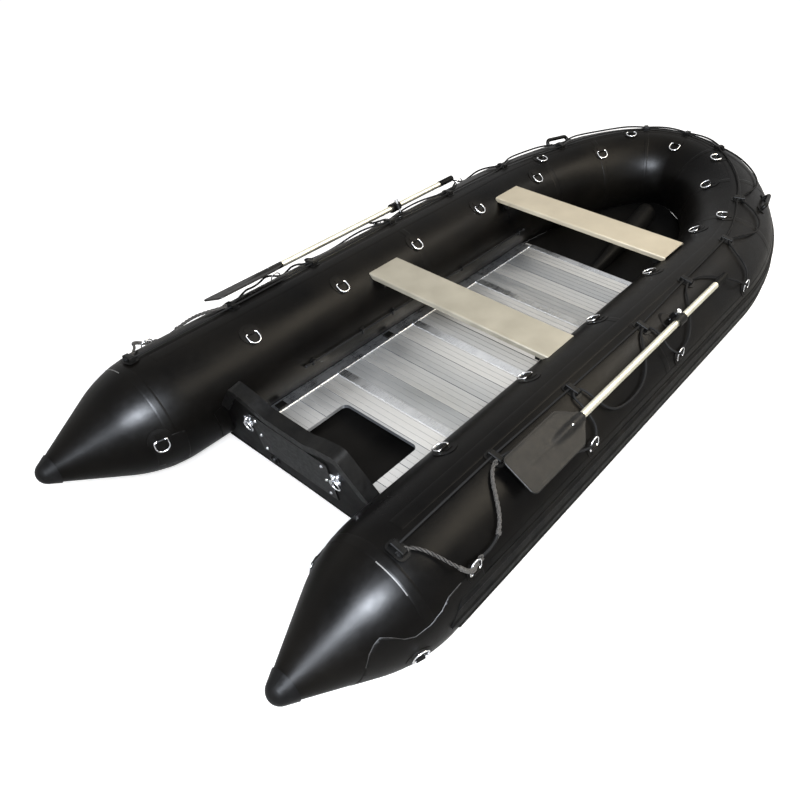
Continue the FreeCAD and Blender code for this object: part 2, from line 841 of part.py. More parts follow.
def rub_strake():
    """Straight bands along the sides that end in a point astern, and the curve round the bow."""
    stations = even_steps(bow_curve_start, nose_station, strake_pitch) + [nose_station]
    port = [strake_outline(s) for s in stations]
    star = [mirrored(wire) for wire in reversed(port[:-1])]
    high = on_tube(strake_start, strake_high_angle, strake_ridge)[0].z
    low = on_tube(strake_start, strake_low_angle, strake_ridge)[0].z
    shoulder = strake_start + strake_point_run
    point = V(strake_start, 0, (high + low) / 2)
    side = Part.makePolygon([point, V(shoulder, 0, high), V(bow_curve_start, 0, high),
                             V(bow_curve_start, 0, low), V(shoulder, 0, low), point])
    band = Part.Face(strake_outline(bow_curve_start)).extrude(V(strake_start - bow_curve_start, 0, 0))
    band = band.common(Part.Face(side).extrude(V(0, tube_spacing, 0)))
    return Part.makeLoft(port + star, True, False).fuse([band, mirrored(band)])


nodes["rub_strake"] = rub_strake()

# Rings on pads

def skin_patch(station, angle, half_length, half_width, low, high):
    """Piece of a skin that lies on the tube from one height to another, round a station and an angle."""
    reach = degrees(half_width / radius_at(station))
    sections = []
    for share in (-1, -1 / 2, 0, 1 / 2, 1):
        s = station + half_length * share
        inner = [on_tube(s, angle + turn, low)[0] for turn in (-reach, 0, reach)]
        outer = [on_tube(s, angle + turn, high)[0] for turn in (reach, 0, -reach)]
        edges = [Part.Arc(*inner), Part.LineSegment(inner[2], outer[0]),
                 Part.Arc(*outer), Part.LineSegment(outer[2], inner[0])]
        sections.append(Part.Wire([edge.toShape() for edge in edges]))
    return Part.makeLoft(sections, True, False)


def on_patch(patch, outline, seat):
    """The part of a skin patch that lies inside an outline drawn round the seat's normal."""
    depth = 2 * pad_radius
    plug = Part.Face(outline).extrude(V(0, 0, 2 * depth)).translated(V(0, 0, -depth))
    return patch.common(placed(plug, *seat))


def round_pad(patch, seat, radius):
    return on_patch(patch, Part.Wire([Part.makeCircle(radius)]), seat)


def ring(lean, bar_height):
    """U-shaped wire ring with a straight bar along X, lying to the side of falling Y."""
    half = ring_width / 2
    end = half - ring_wire_radius / 2
    corners = [V(-half, 0, 0), V(half, 0, 0), V(half, -ring_length, 0), V(-half, -ring_length, 0)]
    path = rounded_wire(corners, [ring_corner, ring_corner, end, end], True)
    wire = swept(path, ring_wire_radius)
    wire.rotate(V(0, 0, 0), V(1, 0, 0), lean)
    return wire.translated(V(0, 0, bar_height))


def ring_tab(reach, bar_height):
    """Webbing that holds the bar of a ring down on its pad."""
    bore = ring_wire_radius + ring_play
    outer = bore + tab_wall
    half = tab_width / 2
    low = pad_thickness / 2
    sleeve = Part.makeCylinder(outer, tab_width, V(-half, 0, bar_height), V(1, 0, 0))
    foot = block(-half, half, -outer, outer, low, bar_height + low)
    tail = block(-half, half, bore, bore + reach, low + pad_gap, low + pad_gap + tab_wall)
    hole = Part.makeCylinder(bore, 2 * tab_width, V(-tab_width, 0, bar_height), V(1, 0, 0))
    return sleeve.fuse([foot, tail]).cut(hole)


low_bar = pad_gap + pad_thickness + ring_wire_radius + ring_play
flat_bar = low_bar + ring_lift
ring_flat = ring(ring_lean_angle, flat_bar)
ring_raised = ring(low_ring_lean_angle, low_bar)
tab = ring_tab(pad_radius / 2, flat_bar)
low_tab = ring_tab(low_pad_radius / 2, low_bar)


def ring_set(places, shape, webbing, radius):
    """Pads with their webbing, and the rings, for both sides."""
    pads, wires = [], []
    for station, angle in places:
        seat = on_tube(station, angle)
        patch = skin_patch(station, angle, radius, radius, pad_gap, pad_gap + pad_thickness)
        pads.append(round_pad(patch, seat, radius).fuse(placed(webbing, *seat)))
        wires.append(placed(shape, *seat))
        if station < nose_station:
            pads.append(mirrored(pads[-1]))
            wires.append(mirrored(wires[-1]))
    return Part.makeCompound(pads), Part.makeCompound(wires)


row = [(ring_row_start + ring_row_pitch * i, ring_row_angle) for i in range(ring_row_count)]
inner_places = row + [(nose_station, nose_ring_angle)]
top_places = [(nose_station * share, top_ring_angle) for share in top_ring_places_share]
low_places = [(low_ring_start + low_ring_pitch * i, low_ring_angle) for i in range(low_ring_count)]
pads, wires = ring_set(inner_places + top_places, ring_flat, tab, pad_radius)
nodes["ring_pads_inner"] = pads
nodes["rings_inner"] = wires
pads, wires = ring_set(low_places, ring_raised, low_tab, low_pad_radius)
nodes["ring_pads_outer"] = pads
nodes["rings_outer"] = wires


def cone_seat(x, angle):
    """Point of a stern cone's skin, its normal and the direction forward along it."""
    slope = asin((cone_length - x) / cone_blend_radius)
    radius = tube_radius - cone_blend_radius + cone_blend_radius * cos(slope)
    out = V(0, cos(radians(angle)), sin(radians(angle)))
    point = V(x, half_spacing, tube_radius) + out * radius
    normal = out * cos(slope) - V(sin(slope), 0, 0)
    return point, normal, V(cos(slope), 0, 0) + out * sin(slope)


def cone_ring_set():
    pads, wires = [], []
    shell = stern_cone(pad_gap + pad_thickness).cut(stern_cone(pad_gap))
    for angle in (cone_outer_ring_angle, cone_inner_ring_angle):
        seat = cone_seat(cone_ring_place, angle)
        near = Part.makeSphere(2 * pad_radius, seat[0])
        pads.append(round_pad(shell.common(near), seat, pad_radius).fuse(placed(tab, *seat)))
        wires.append(placed(ring_flat, *seat))
    return pads, wires


cone_pads, cone_wires = cone_ring_set()
nodes["ring_pads_cones"] = Part.makeCompound(cone_pads + [mirrored(p) for p in cone_pads])
nodes["rings_cones"] = Part.makeCompound(cone_wires + [mirrored(w) for w in cone_wires])

# Rope holders

def bridge(station, angle, pad_size, bridge_size, slot_size):
    """Moulded bridge on a pad, for ropes that pass under it. Sizes are length, width and height."""
    seat = on_tube(station, angle)
    half_length, half_width = pad_size[0] / 2, pad_size[1] / 2
    patch = skin_patch(station, angle, half_length, half_width, pad_gap, pad_gap + pad_thickness)
    corners = [V(-half_length, -half_width, 0), V(half_length, -half_width, 0),
               V(half_length, half_width, 0), V(-half_length, half_width, 0)]
    corner = pad_corner_share * half_length
    pad = on_patch(patch, rounded_wire(corners, [corner, corner, corner, corner], True), seat)
    length, width, height = bridge_size
    body = block(-length / 2, length / 2, -width / 2, width / 2, pad_gap, height)
    upper = [e for e in body.Edges if e.BoundBox.ZMin > height / 2]
    body = body.makeFillet(bridge_round_share * width, upper)
    length, width, height = slot_size
    slot = block(-length / 2, length / 2, -width / 2, width / 2, -pad_thickness, height)
    along = [e for e in slot.Edges if e.BoundBox.XLength > length / 2 and e.BoundBox.ZMin > height / 2]
    slot = slot.makeFillet(bridge_round_share * width, along)
    return pad.fuse(placed(body.cut(slot), *seat))


holder_places = []
for place, turn in zip(rope_holder_places_share, rope_holder_angles_share):
    holder_places.append((nose_station * place, 180 * turn))
holder_places.append((nose_station, nose_holder_angle))
holder_sizes = ((holder_pad_length, holder_pad_width),
                (holder_bridge_length, holder_bridge_width, holder_bridge_height),
                (2 * holder_bridge_length, holder_slot_width, holder_slot_height))
holders = [bridge(station, angle, *holder_sizes) for station, angle in holder_places]
nose_holder = holders.pop()
nodes["rope_holders"] = Part.makeCompound(holders + [mirrored(h) for h in holders] + [nose_holder])

# Lifeline: one rope on each side, through the holders and the outer rings
lifeline_route = [
    (484, 75.7, 9.5), (518, 75, 10.5), (548, 67, 12.5), (573, 56, 14), (590, 46, 27),
    (620, 34.5, 48.5), (681, 33.5, 9), (756, 32.5, 9.5), (804, 36, 11.5), (844, 45, 13),
    (878, 57, 13), (914, 68, 12.5), (957, 75, 11), (1000, 76.7, 9.5), (1052, 75, 11),
    (1105, 67, 13), (1165, 54, 13), (1225, 44, 13), (1286, 38, 25), (1351, 34.5, 46),
    (1420, 33, 8.7), (1447, 41, 11), (1447, 51, 13), (1449, 62, 12.5), (1450, 70.5, 11),
    (1471, 74.7, 9.5), (1497, 74.7, 9.5), (1516, 71, 11), (1522, 62, 12.5), (1533, 52, 13),
    (1556, 44, 12.5), (1600, 38.5, 11.5), (1665, 35.5, 10.5), (1735, 35, 10.5), (1805, 37.5, 11),
    (1864, 45, 12.5), (1914, 56, 13), (1958, 66, 12), (1996, 72.5, 10.5), (2030, 74.5, 9.5),
    (2058, 72.4, 10), (2071, 65, 11), (2069, 57, 12.5), (2061, 51, 14.5), (2046, 43.5, 28),
    (2077, 34.5, 47), (2140, 33.5, 8.8), (2205, 34, 10.5), (2262, 42, 13), (2320, 53, 13),
    (2380, 64, 13), (2440, 74, 11.5), (2504, 77.7, 9.5), (2566, 76, 11), (2632, 68, 13),
    (2700, 57, 13), (2758, 46, 25), (2803, 34.5, 47), (2865, 33.5, 8.7), (2902, 41, 11),
    (2908, 51, 13), (2916, 61, 12.5), (2930, 70, 12), (2954, 78, 10), (2996, 79.8, 10),
    (3040, 74, 12), (3090, 67, 13), (3140, 61, 13), (3190, 57, 13), (3256, 58, 13),
    (3308, 66, 13), (3348, 77, 12), (3372, 84.5, 10), (3402, 86, 10), (3444, 82, 12),
    (3500, 73, 13), (3566, 65, 13), (3640, 59, 13), (3722, 57, 13), (3802, 60, 13),
    (3874, 67, 13), (3940, 76, 12), (4004, 81.8, 9.5), (4060, 80, 11.5), (4120, 77, 12),
    (4180, 77, 12), (4240, 80, 11), (4288, 81.7, 9.5)]


def rope(points, radius):
    """Rope along straight runs joined by arcs as large as they allow, its length and tightest arc."""
    rounds = [0] * len(points)
    for i in range(1, len(points) - 1):
        back, ahead = points[i - 1] - points[i], points[i + 1] - points[i]
        rounds[i] = arc_share * min(back.Length, ahead.Length) * tan(back.getAngle(ahead) / 2)
    path = rounded_wire(points, rounds)
    return swept(path, radius), path.Length, min(r for r in rounds if r)


lifeline_points = [on_tube(*place)[0] for place in lifeline_route]
lifeline, lifeline_length, lifeline_bend = rope(lifeline_points, rope_radius)
nodes["lifeline_port"] = lifeline
nodes["lifeline_starboard"] = mirrored(lifeline)
print("lifeline length", lifeline_length, "tightest arc", lifeline_bend,
      "volume share", lifeline.Volume / (lifeline_length * pi * rope_radius ** 2))


def top_line_span(start, end):
    """Taut line from one holder to the next, beside the lifeline."""
    side = degrees(line_side_step / tube_radius)
    height = pad_gap + pad_thickness + seat_gap + top_line_radius
    first = on_tube(start[0] + line_end_step, start[1] + side, height)[0]
    last = on_tube(end[0] - line_end_step, end[1] + side, height)[0]
    if end[0] <= bow_curve_start:
        return Part.makeCylinder(top_line_radius, (last - first).Length, first, last - first)
    rise = height + top_line_radius / 2
    middle = on_tube((start[0] + end[0]) / 2, (start[1] + end[1]) / 2 + side, rise)[0]
    return swept(Part.Wire([Part.Arc(first, middle, last).toShape()]), top_line_radius)


spans = [top_line_span(start, end) for start, end in zip(holder_places, holder_places[1:])]
nodes["top_lines"] = Part.makeCompound(spans + [mirrored(span) for span in spans])


def inner_line():
    """Taut line along the inner wall with a knot at each end, and the bridges that hold it."""
    places = [nose_station * share for share in inner_line_places_share]
    start = on_tube(places[0] - inner_line_overrun, inner_line_angle, inner_line_height)[0]
    length = places[-1] - places[0] + 2 * inner_line_overrun
    line = Part.makeCylinder(inner_line_radius, length, start, V(1, 0, 0))
    knots = [Part.makeSphere(knot_radius, start), Part.makeSphere(knot_radius, start + V(length, 0, 0))]
    line = line.fuse(knots)
    sizes = ((2 * line_eye_length, line_eye_width + line_eye_length),
             (line_eye_length, line_eye_width, line_eye_height),
             (2 * line_eye_length, line_eye_slot, inner_line_height + inner_line_radius + line_eye_play))
    return line, [bridge(station, inner_line_angle, *sizes) for station in places]


line, eyes = inner_line()
nodes["inner_lines"] = both(line)
nodes["inner_line_eyes"] = Part.makeCompound(eyes + [mirrored(eye) for eye in eyes])

# Small fittings

def handle():
    """Moulded carrying handle on the bow: two feet and a bent bar."""
    ends = ((handle_aft, handle_aft_angle), (handle_fore, handle_fore_angle))
    foot = handle_foot_radius
    feet = []
    for station, angle in ends:
        patch = skin_patch(station, angle, foot, foot, pad_gap, pad_gap + 2 * pad_thickness)
        feet.append(round_pad(patch, on_tube(station, angle), foot))
    heights = (pad_gap + pad_thickness, handle_height, handle_height, pad_gap + pad_thickness)
    points = [on_tube(*ends[i // 2], height)[0] for i, height in enumerate(heights)]
    path = rounded_wire(points, [0, handle_bend, handle_bend, 0])
    return swept(path, handle_bar_radius).fuse(feet)


nodes["bow_handles"] = both(handle())


def towing_eye():
    """Plate with an eye on the stern face of the transom, and the ring that hangs in it."""
    y, z = eye_half_spacing, -eye_drop
    stern = V(-eye_plate_thickness - seat_gap, y, z)
    plate = Part.makeCylinder(eye_plate_radius, eye_plate_thickness, stern, V(1, 0, 0))
    eye = Part.makeTorus(eye_radius, eye_wire_radius, V(-eye_plate_thickness, y, z), V(0, 1, 0))
    room = block(-seat_gap, eye_radius * 2, 0, tube_diameter, -tube_diameter, 0)
    ring_x = -eye_plate_thickness - eye_radius / 2
    middle = V(ring_x, y, z - eye_ring_radius)
    hanging = Part.makeTorus(eye_ring_radius, eye_wire_radius, middle, V(1, 0, 0))
    return raked(plate.fuse(eye).cut(room)), raked(hanging)


eye, eye_ring = towing_eye()
nodes["towing_eyes"] = both(eye)
nodes["towing_rings"] = both(eye_ring)


def drain():
    """Capped drain socket low on the stern face, to port."""
    stern = V(-seat_gap, drain_side, -drain_drop)
    flange = Part.makeCylinder(drain_flange_radius, eye_plate_thickness, stern, V(-1, 0, 0))
    cap = Part.makeCylinder(drain_cap_radius, drain_cap_height, stern, V(-1, 0, 0))
    rim = [e for e in cap.Edges if e.BoundBox.XMax < -drain_cap_height / 2]
    return raked(flange.fuse(cap.makeFillet(eye_plate_thickness, rim)))


nodes["drain_socket"] = drain()

# Origin under the middle of the boat

def exact_box():
    boxes = [shape.optimalBoundingBox(False) for shape in nodes.values()]
    whole = boxes[0]
    for box in boxes[1:]:
        whole.add(box)
    return whole


whole = exact_box()
shift = V(-(whole.XMin + whole.XMax) / 2, -(whole.YMin + whole.YMax) / 2, -whole.ZMin)
for name, shape in nodes.items():
    shape.translated(shift).exportStep("parts/" + name + ".step")
print("overall", whole.XLength, whole.YLength, whole.ZLength, "moved by", shift)
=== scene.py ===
import bpy
import bmesh
from math import cos, degrees, hypot, pi, radians, sin, sqrt, tan
from mathutils import Matrix, Vector


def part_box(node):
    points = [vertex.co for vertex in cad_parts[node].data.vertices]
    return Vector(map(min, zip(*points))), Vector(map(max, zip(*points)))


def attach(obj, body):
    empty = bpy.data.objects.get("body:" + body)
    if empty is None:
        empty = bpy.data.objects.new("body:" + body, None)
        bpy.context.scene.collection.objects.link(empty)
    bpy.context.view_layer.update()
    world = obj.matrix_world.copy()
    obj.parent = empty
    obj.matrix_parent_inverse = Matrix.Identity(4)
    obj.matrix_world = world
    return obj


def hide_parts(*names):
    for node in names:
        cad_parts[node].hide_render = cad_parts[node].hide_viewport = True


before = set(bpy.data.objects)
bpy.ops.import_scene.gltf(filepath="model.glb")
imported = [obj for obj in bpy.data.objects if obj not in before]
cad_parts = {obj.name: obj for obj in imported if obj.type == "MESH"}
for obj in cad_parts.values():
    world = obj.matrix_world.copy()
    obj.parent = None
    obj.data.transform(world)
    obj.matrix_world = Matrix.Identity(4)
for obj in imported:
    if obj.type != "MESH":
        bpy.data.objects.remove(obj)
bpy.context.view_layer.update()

# Camera at the photograph's viewing angle: rows are the picture's right, down and ahead

VIEW = ((0.648923, -0.760834, 0.005546), (-0.49169, -0.424908, -0.760062), (0.580637, 0.490495, -0.649827))
CAMERA_AT = Vector((-2.597460, -1.634070, 2.256780))
PICTURE = 800
FOCAL = 722.95
CENTRE = (419.494, 396.842)
NEAREST_SEEN = 0.05


def add_item(name, data):
    item = bpy.data.objects.new(name, data)
    bpy.context.scene.collection.objects.link(item)
    return item


def add_camera():
    data = bpy.data.cameras.new("camera")
    camera = add_item("camera", data)
    bpy.context.scene.camera = camera
    right, down, ahead = (Vector(row) for row in VIEW)
    facing = Matrix((right, -down, -ahead)).transposed().to_4x4()
    camera.matrix_world = Matrix.Translation(CAMERA_AT) @ facing
    data.lens = FOCAL / PICTURE * data.sensor_width
    data.shift_x = (PICTURE / 2 - CENTRE[0]) / PICTURE
    data.shift_y = (CENTRE[1] - PICTURE / 2) / PICTURE
    data.clip_start = NEAREST_SEEN


add_camera()

# Tube path, in metres. A station is the distance along the port tube's axis from the cone's tip,
# and round the bow it is close to that distance

tube_low, tube_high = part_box("tube_port")
cone_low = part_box("cone_port")[0]
bow_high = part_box("bow_tube")[1]
TUBE = round((tube_high.z - tube_low.z) / 2, 4)
HALF = round((tube_high.y + tube_low.y) / 2, 4)
TAPER = 0.020
ORIGIN = cone_low.x
GROUND = tube_low.z
NOSE_AXIS = bow_high.x - ORIGIN - TUBE + TAPER
RISE = bow_high.z - GROUND - 2 * TUBE + TAPER
BOW_CHAMBER = tube_high.x - ORIGIN
BOW_CURVE = 2.850
RISE_START = 3.000
REACH = NOSE_AXIS - BOW_CURVE
CURVE_LENGTH = pi / 2 * sqrt((REACH ** 2 + HALF ** 2) / 2)
NOSE = BOW_CURVE + CURVE_LENGTH
FORWARD = Vector((1, 0, 0))
UP = Vector((0, 0, 1))

# Stern cone: a round tip, a straight flank and a blend into the tube

TIP_RADIUS = 0.043
CONE_ANGLE = radians(28.1)
BLEND = 0.589
LINE_START = TIP_RADIUS * (1 - sin(CONE_ANGLE))
LINE_RADIUS = TIP_RADIUS * cos(CONE_ANGLE)
CONE_LENGTH = (LINE_START + (TUBE - BLEND * (1 - cos(CONE_ANGLE)) - LINE_RADIUS) / tan(CONE_ANGLE)
               + BLEND * sin(CONE_ANGLE))


def bow_share(station):
    """How far round the bow a station lies: 0 where the curve starts and 1 at the nose."""
    return min(max((station - BOW_CURVE) / CURVE_LENGTH, 0), 1)


def axis_point(station):
    along = bow_share(station) * pi / 2
    x = min(station, BOW_CURVE) + REACH * sin(along)
    lift = max(0, (x - RISE_START) / (NOSE_AXIS - RISE_START))
    return Vector((x + ORIGIN, HALF * cos(along), TUBE + GROUND + RISE * lift ** 2))


def radius_at(station):
    if station >= CONE_LENGTH:
        return TUBE - TAPER * bow_share(station) ** 2
    blend_start = CONE_LENGTH - BLEND * sin(CONE_ANGLE)
    if station >= blend_start:
        return TUBE - BLEND + sqrt(BLEND ** 2 - (CONE_LENGTH - station) ** 2)
    if station >= LINE_START:
        return LINE_RADIUS + (station - LINE_START) * tan(CONE_ANGLE)
    return sqrt(max(TIP_RADIUS ** 2 - (TIP_RADIUS - station) ** 2, 0))


def frame_at(station):
    """Centre of the tube at a station, and the way forward, outboard and up there."""
    step = 0.00025
    ahead_at = axis_point(min(station + step, NOSE))
    forward = (ahead_at - axis_point(min(station + step, NOSE) - 2 * step)).normalized()
    if station >= NOSE:
        forward = Vector((0, -1, 0))
    if station <= BOW_CURVE:
        forward = FORWARD
    outboard = -forward.cross(UP).normalized()
    return axis_point(station), forward, outboard, -outboard.cross(forward).normalized()


def flip(v):
    return Vector((v.x, -v.y, v.z))


def folded(station):
    """The port station that matches one past the nose."""
    return min(station, 2 * NOSE - station)


def on_tube(station, angle, height=0.0):
    """Point over the port skin, its normal and the way forward. Angle 0 is outboard, 90 on top."""
    if station > NOSE:
        point, normal, forward = on_tube(2 * NOSE - station, angle, height)
        return flip(point), flip(normal), -flip(forward)
    centre, forward, outboard, up = frame_at(station)
    normal = outboard * cos(radians(angle)) + up * sin(radians(angle))
    return centre + normal * (radius_at(station) + height), normal, forward


# Node materials

class Nodes:
    """Small helper that adds nodes to a tree and links them."""

    def __init__(self, tree):
        self.tree = tree

    def node(self, kind, **values):
        node = self.tree.nodes.new("ShaderNode" + kind)
        for key, value in values.items():
            if hasattr(node, key):
                setattr(node, key, value)
            else:
                node.inputs[key.replace("_", " ")].default_value = value
        return node

    def link(self, start, end):
        self.tree.links.new(start, end)

    def maths(self, operation, first, second=None):
        node = self.node("Math", operation=operation)
        for value, socket in zip((first, second), node.inputs):
            if isinstance(value, (int, float)):
                socket.default_value = value
            elif value is not None:
                self.link(value, socket)
        return node.outputs["Value"]


class Shader(Nodes):
    """Builds one material round its Principled BSDF."""

    def __init__(self, name):
        self.material = bpy.data.materials.new(name)
        self.material.use_nodes = True
        super().__init__(self.material.node_tree)
        self.main = self.tree.nodes["Principled BSDF"]
        self.coordinates = self.tree.nodes.new("ShaderNodeTexCoord")

    def space(self, scale, source="Object"):
        mapping = self.node("Mapping")
        mapping.inputs["Scale"].default_value = scale
        self.link(self.coordinates.outputs[source], mapping.inputs["Vector"])
        return mapping.outputs["Vector"]

    def noise(self, scale, detail=3.0, rough=0.5, space=None):
        node = self.node("TexNoise", Scale=scale, Detail=detail, Roughness=rough)
        self.link(space or self.coordinates.outputs["Object"], node.inputs["Vector"])
        return node.outputs["Fac"]

    def wave(self, scale, space, direction):
        node = self.node("TexWave", Scale=scale, bands_direction=direction)
        self.link(space, node.inputs["Vector"])
        return node.outputs["Fac"]

    def cells(self, scale):
        node = self.node("TexVoronoi", Scale=scale)
        self.link(self.coordinates.outputs["Object"], node.inputs["Vector"])
        return node.outputs["Distance"]

    def split(self, source):
        node = self.node("SeparateXYZ")
        self.link(self.coordinates.outputs[source], node.inputs["Vector"])
        return node.outputs

    def remap(self, value, low, high, start, end):
        """The value's stretch from start to end, laid over low to high."""
        node = self.node("MapRange")
        for key, number in (("From Min", start), ("From Max", end), ("To Min", low), ("To Max", high)):
            node.inputs[key].default_value = number
        self.link(value, node.inputs["Value"])
        return node.outputs["Result"]

    def blend(self, share, first, second):
        """Mix of two colours, each a tuple or another node's output."""
        node = self.node("Mix", data_type="RGBA")
        share_in, first_in, second_in = node.inputs[0], node.inputs[6], node.inputs[7]
        self.link(share, share_in)
        for value, socket in ((first, first_in), (second, second_in)):
            if isinstance(value, tuple):
                socket.default_value = (*value, 1)
            else:
                self.link(value, socket)
        return node.outputs[2]

    def bump(self, value, distance, strength=1.0, below=None):
        node = self.node("Bump", Distance=distance, Strength=strength)
        self.link(value, node.inputs["Height"])
        if below:
            self.link(below, node.inputs["Normal"])
        return node.outputs["Normal"]

    def finish(self, colour, roughness, normal, **fixed):
        for value, key in ((colour, "Base Color"), (roughness, "Roughness"), (normal, "Normal")):
            self.link(value, self.main.inputs[key])
        for key, value in fixed.items():
            self.main.inputs[key.replace("_", " ")].default_value = value
        return self.material


def coated_fabric(name, dark, light, rough, gloss):
    """Coated tube fabric: fine weave under a glossy coat, dusty clouds and faint soft dents."""
    s = Shader(name)
    threads = 190
    uv = s.space((1, 1, 1), "UV")
    clouds = s.noise(2.3, 4.0, 0.55)
    scuffs = s.noise(38.0, 5.0, 0.65)
    weave = s.maths("MULTIPLY", s.wave(threads, uv, "X"), s.wave(threads, uv, "Y"))
    colour = s.blend(s.remap(clouds, 0.0, 1.0, 0.35, 0.7), dark, light)
    roughness = s.maths("ADD", s.remap(clouds, *rough, 0.3, 0.7), s.remap(scuffs, -0.03, 0.05, 0.3, 0.75))
    dents = s.bump(s.noise(5.5, 2.0, 0.4), 0.0035, 0.55)
    drape = s.bump(s.noise(1.0, 3.0, 0.5, s.space((4, 16, 16))), 0.0012, 0.4, dents)
    normal = s.bump(weave, 0.00008, 0.5, drape)
    return s.finish(colour, roughness, normal, Specular_IOR_Level=gloss)


def moulded(name, dark, light, rough, gloss, grain=900.0, depth=0.0001):
    """Moulded plastic or rubber with a fine grain and slightly rubbed high spots."""
    s = Shader(name)
    cloud = s.noise(14.0, 4.0, 0.6)
    colour = s.blend(s.remap(cloud, 0.0, 1.0, 0.35, 0.7), dark, light)
    rub = s.remap(s.noise(55.0, 4.0, 0.6), rough - 0.06, rough + 0.08, 0.3, 0.7)
    normal = s.bump(s.cells(grain), depth, 0.5, s.bump(s.noise(130.0), 0.0002, 0.4))
    return s.finish(colour, rub, normal, Specular_IOR_Level=gloss)


def metal(name, base, other, rough, along="Y", streak=0.00006, spread=0.10, bare=1.0):
    """Drawn or brushed metal with fine lines along one axis. bare is 1 with no matt coating on it."""
    s = Shader(name)
    long, fine = 3, 420
    scale = (long, fine, fine) if along == "X" else (fine, long, fine)
    lines = s.noise(1.0, 4.0, 0.7, s.space(scale))
    spots = s.noise(9.0, 5.0, 0.6)
    colour = s.blend(s.remap(spots, 0.0, 1.0, 0.3, 0.7), base, other)
    roughness = s.maths("ADD", s.remap(lines, rough - spread / 2, rough + spread / 2, 0.25, 0.75),
                        s.remap(spots, -0.04, 0.06, 0.3, 0.7))
    return s.finish(colour, roughness, s.bump(lines, streak, 0.5), Metallic=bare)


def floor_planks(name, dark, light, stained, groove_shade_colour, first_plank, plank, bare):
    """Mill finish planks across the boat: each plank has its own tone, with drawn lines along it. Faces that
    look along the boat, the groove walls, get painted shade: dark and rougher.
    """
    s = Shader(name)
    step = s.maths("DIVIDE", s.maths("SUBTRACT", s.split("Object")["X"], first_plank), plank)
    index = s.maths("FLOOR", step)
    odd = s.maths("PINGPONG", index, 1.0)
    rand = s.node("TexWhiteNoise", noise_dimensions="1D")
    s.link(index, rand.inputs["W"])
    tone = s.maths("ADD", s.maths("MULTIPLY", odd, 0.55), s.maths("MULTIPLY", rand.outputs["Value"], 0.45))
    lines = s.noise(1.0, 4.0, 0.7, s.space((520, 2.2, 60)))
    stains = s.noise(7.0, 5.0, 0.62, s.space((1.0, 0.35, 1.0)))
    top = s.blend(s.remap(stains, 0.0, 0.45, 0.42, 0.75), s.blend(tone, dark, light), stained)
    top_rough = s.maths("ADD", s.remap(lines, 0.36, 0.46, 0.25, 0.75), s.remap(stains, -0.05, 0.08, 0.3, 0.7))
    # Painted shade: the groove walls, found by their facing, are darkened towards the groove colour.
    groove_shade = s.remap(s.maths("ABSOLUTE", s.split("Normal")["X"]), 0.0, 1.0, 0.15, 0.6)
    colour = s.blend(groove_shade, top, groove_shade_colour)
    roughness = s.maths("ADD", top_rough, s.maths("MULTIPLY", groove_shade, 0.35))
    normal = s.bump(lines, 0.00008, 0.5, s.bump(s.noise(3.0, 2.0, 0.4), 0.0018, 0.35))
    return s.finish(colour, roughness, normal, Metallic=bare)


def painted_board(name, dark, light):
    """Black paint over plywood: grain shows through and the paint is thin along rubbed streaks."""
    s = Shader(name)
    grain = s.noise(1.0, 5.0, 0.6, s.space((60, 3, 60)))
    rubbed = s.noise(6.0, 5.0, 0.65)
    colour = s.blend(s.remap(rubbed, 0.0, 1.0, 0.45, 0.8), dark, light)
    roughness = s.remap(rubbed, 0.34, 0.52, 0.3, 0.7)
    return s.finish(colour, roughness, s.bump(grain, 0.0004, 0.45), Specular_IOR_Level=0.03)


def rope_fibre(name, dark, light, sheen):
    """Rope yarn: fine flecks over a slower change of shade."""
    s = Shader(name)
    fleck = s.noise(520.0, 3.0, 0.7)
    shade = s.noise(24.0, 3.0, 0.6)
    colour = s.blend(s.remap(fleck, 0.0, 1.0, 0.36, 0.66), dark, light)
    roughness = s.remap(shade, 0.68, 0.92, 0.3, 0.7)
    normal = s.bump(fleck, 0.0005, 0.6, s.bump(shade, 0.0008, 0.3))
    return s.finish(colour, roughness, normal, Specular_IOR_Level=0.10, Sheen_Weight=sheen,
                    Sheen_Roughness=0.5)


SKIN = coated_fabric("coated_fabric", dark=(0.0022, 0.0020, 0.0020), light=(0.0070, 0.0060, 0.0047),
                     rough=(0.27, 0.40), gloss=0.058)
BOTTOM = coated_fabric("bottom_fabric", dark=(0.0026, 0.0025, 0.0024), light=(0.0065, 0.0060, 0.0054),
                       rough=(0.40, 0.55), gloss=0.045)
TAPE = coated_fabric("seam_tape", dark=(0.0023, 0.0021, 0.0021), light=(0.0072, 0.0062, 0.0049),
                     rough=(0.28, 0.41), gloss=0.062)
PATCH = coated_fabric("patch_fabric", dark=(0.0026, 0.0024, 0.0024), light=(0.0080, 0.0070, 0.0056),
                      rough=(0.31, 0.45), gloss=0.068)
# Pale strip on the cones' raised glue edge: a painted highlight where the key lamp's streak crosses the real
# seam.
SEAM_HIGHLIGHT = moulded("painted_seam_highlight", dark=(0.05, 0.05, 0.05), light=(0.34, 0.34, 0.33), rough=0.5, gloss=0.4,
               grain=600.0)
EDGE = moulded("glue_edge", dark=(0.006, 0.006, 0.006), light=(0.045, 0.042, 0.038), rough=0.5, gloss=0.4,
               grain=600.0)
TRIM = moulded("moulded_trim", dark=(0.0040, 0.0040, 0.0040), light=(0.0110, 0.0105, 0.0096),
               rough=0.40, gloss=0.08)
CAP = moulded("cone_cap_rubber", dark=(0.0055, 0.0055, 0.0057), light=(0.0130, 0.0130, 0.0135),
              rough=0.38, gloss=0.08)
RUBBER = moulded("strake_rubber", dark=(0.0040, 0.0040, 0.0039), light=(0.0110, 0.0103, 0.0092),
                 rough=0.48, gloss=0.05, grain=700.0, depth=0.00015)
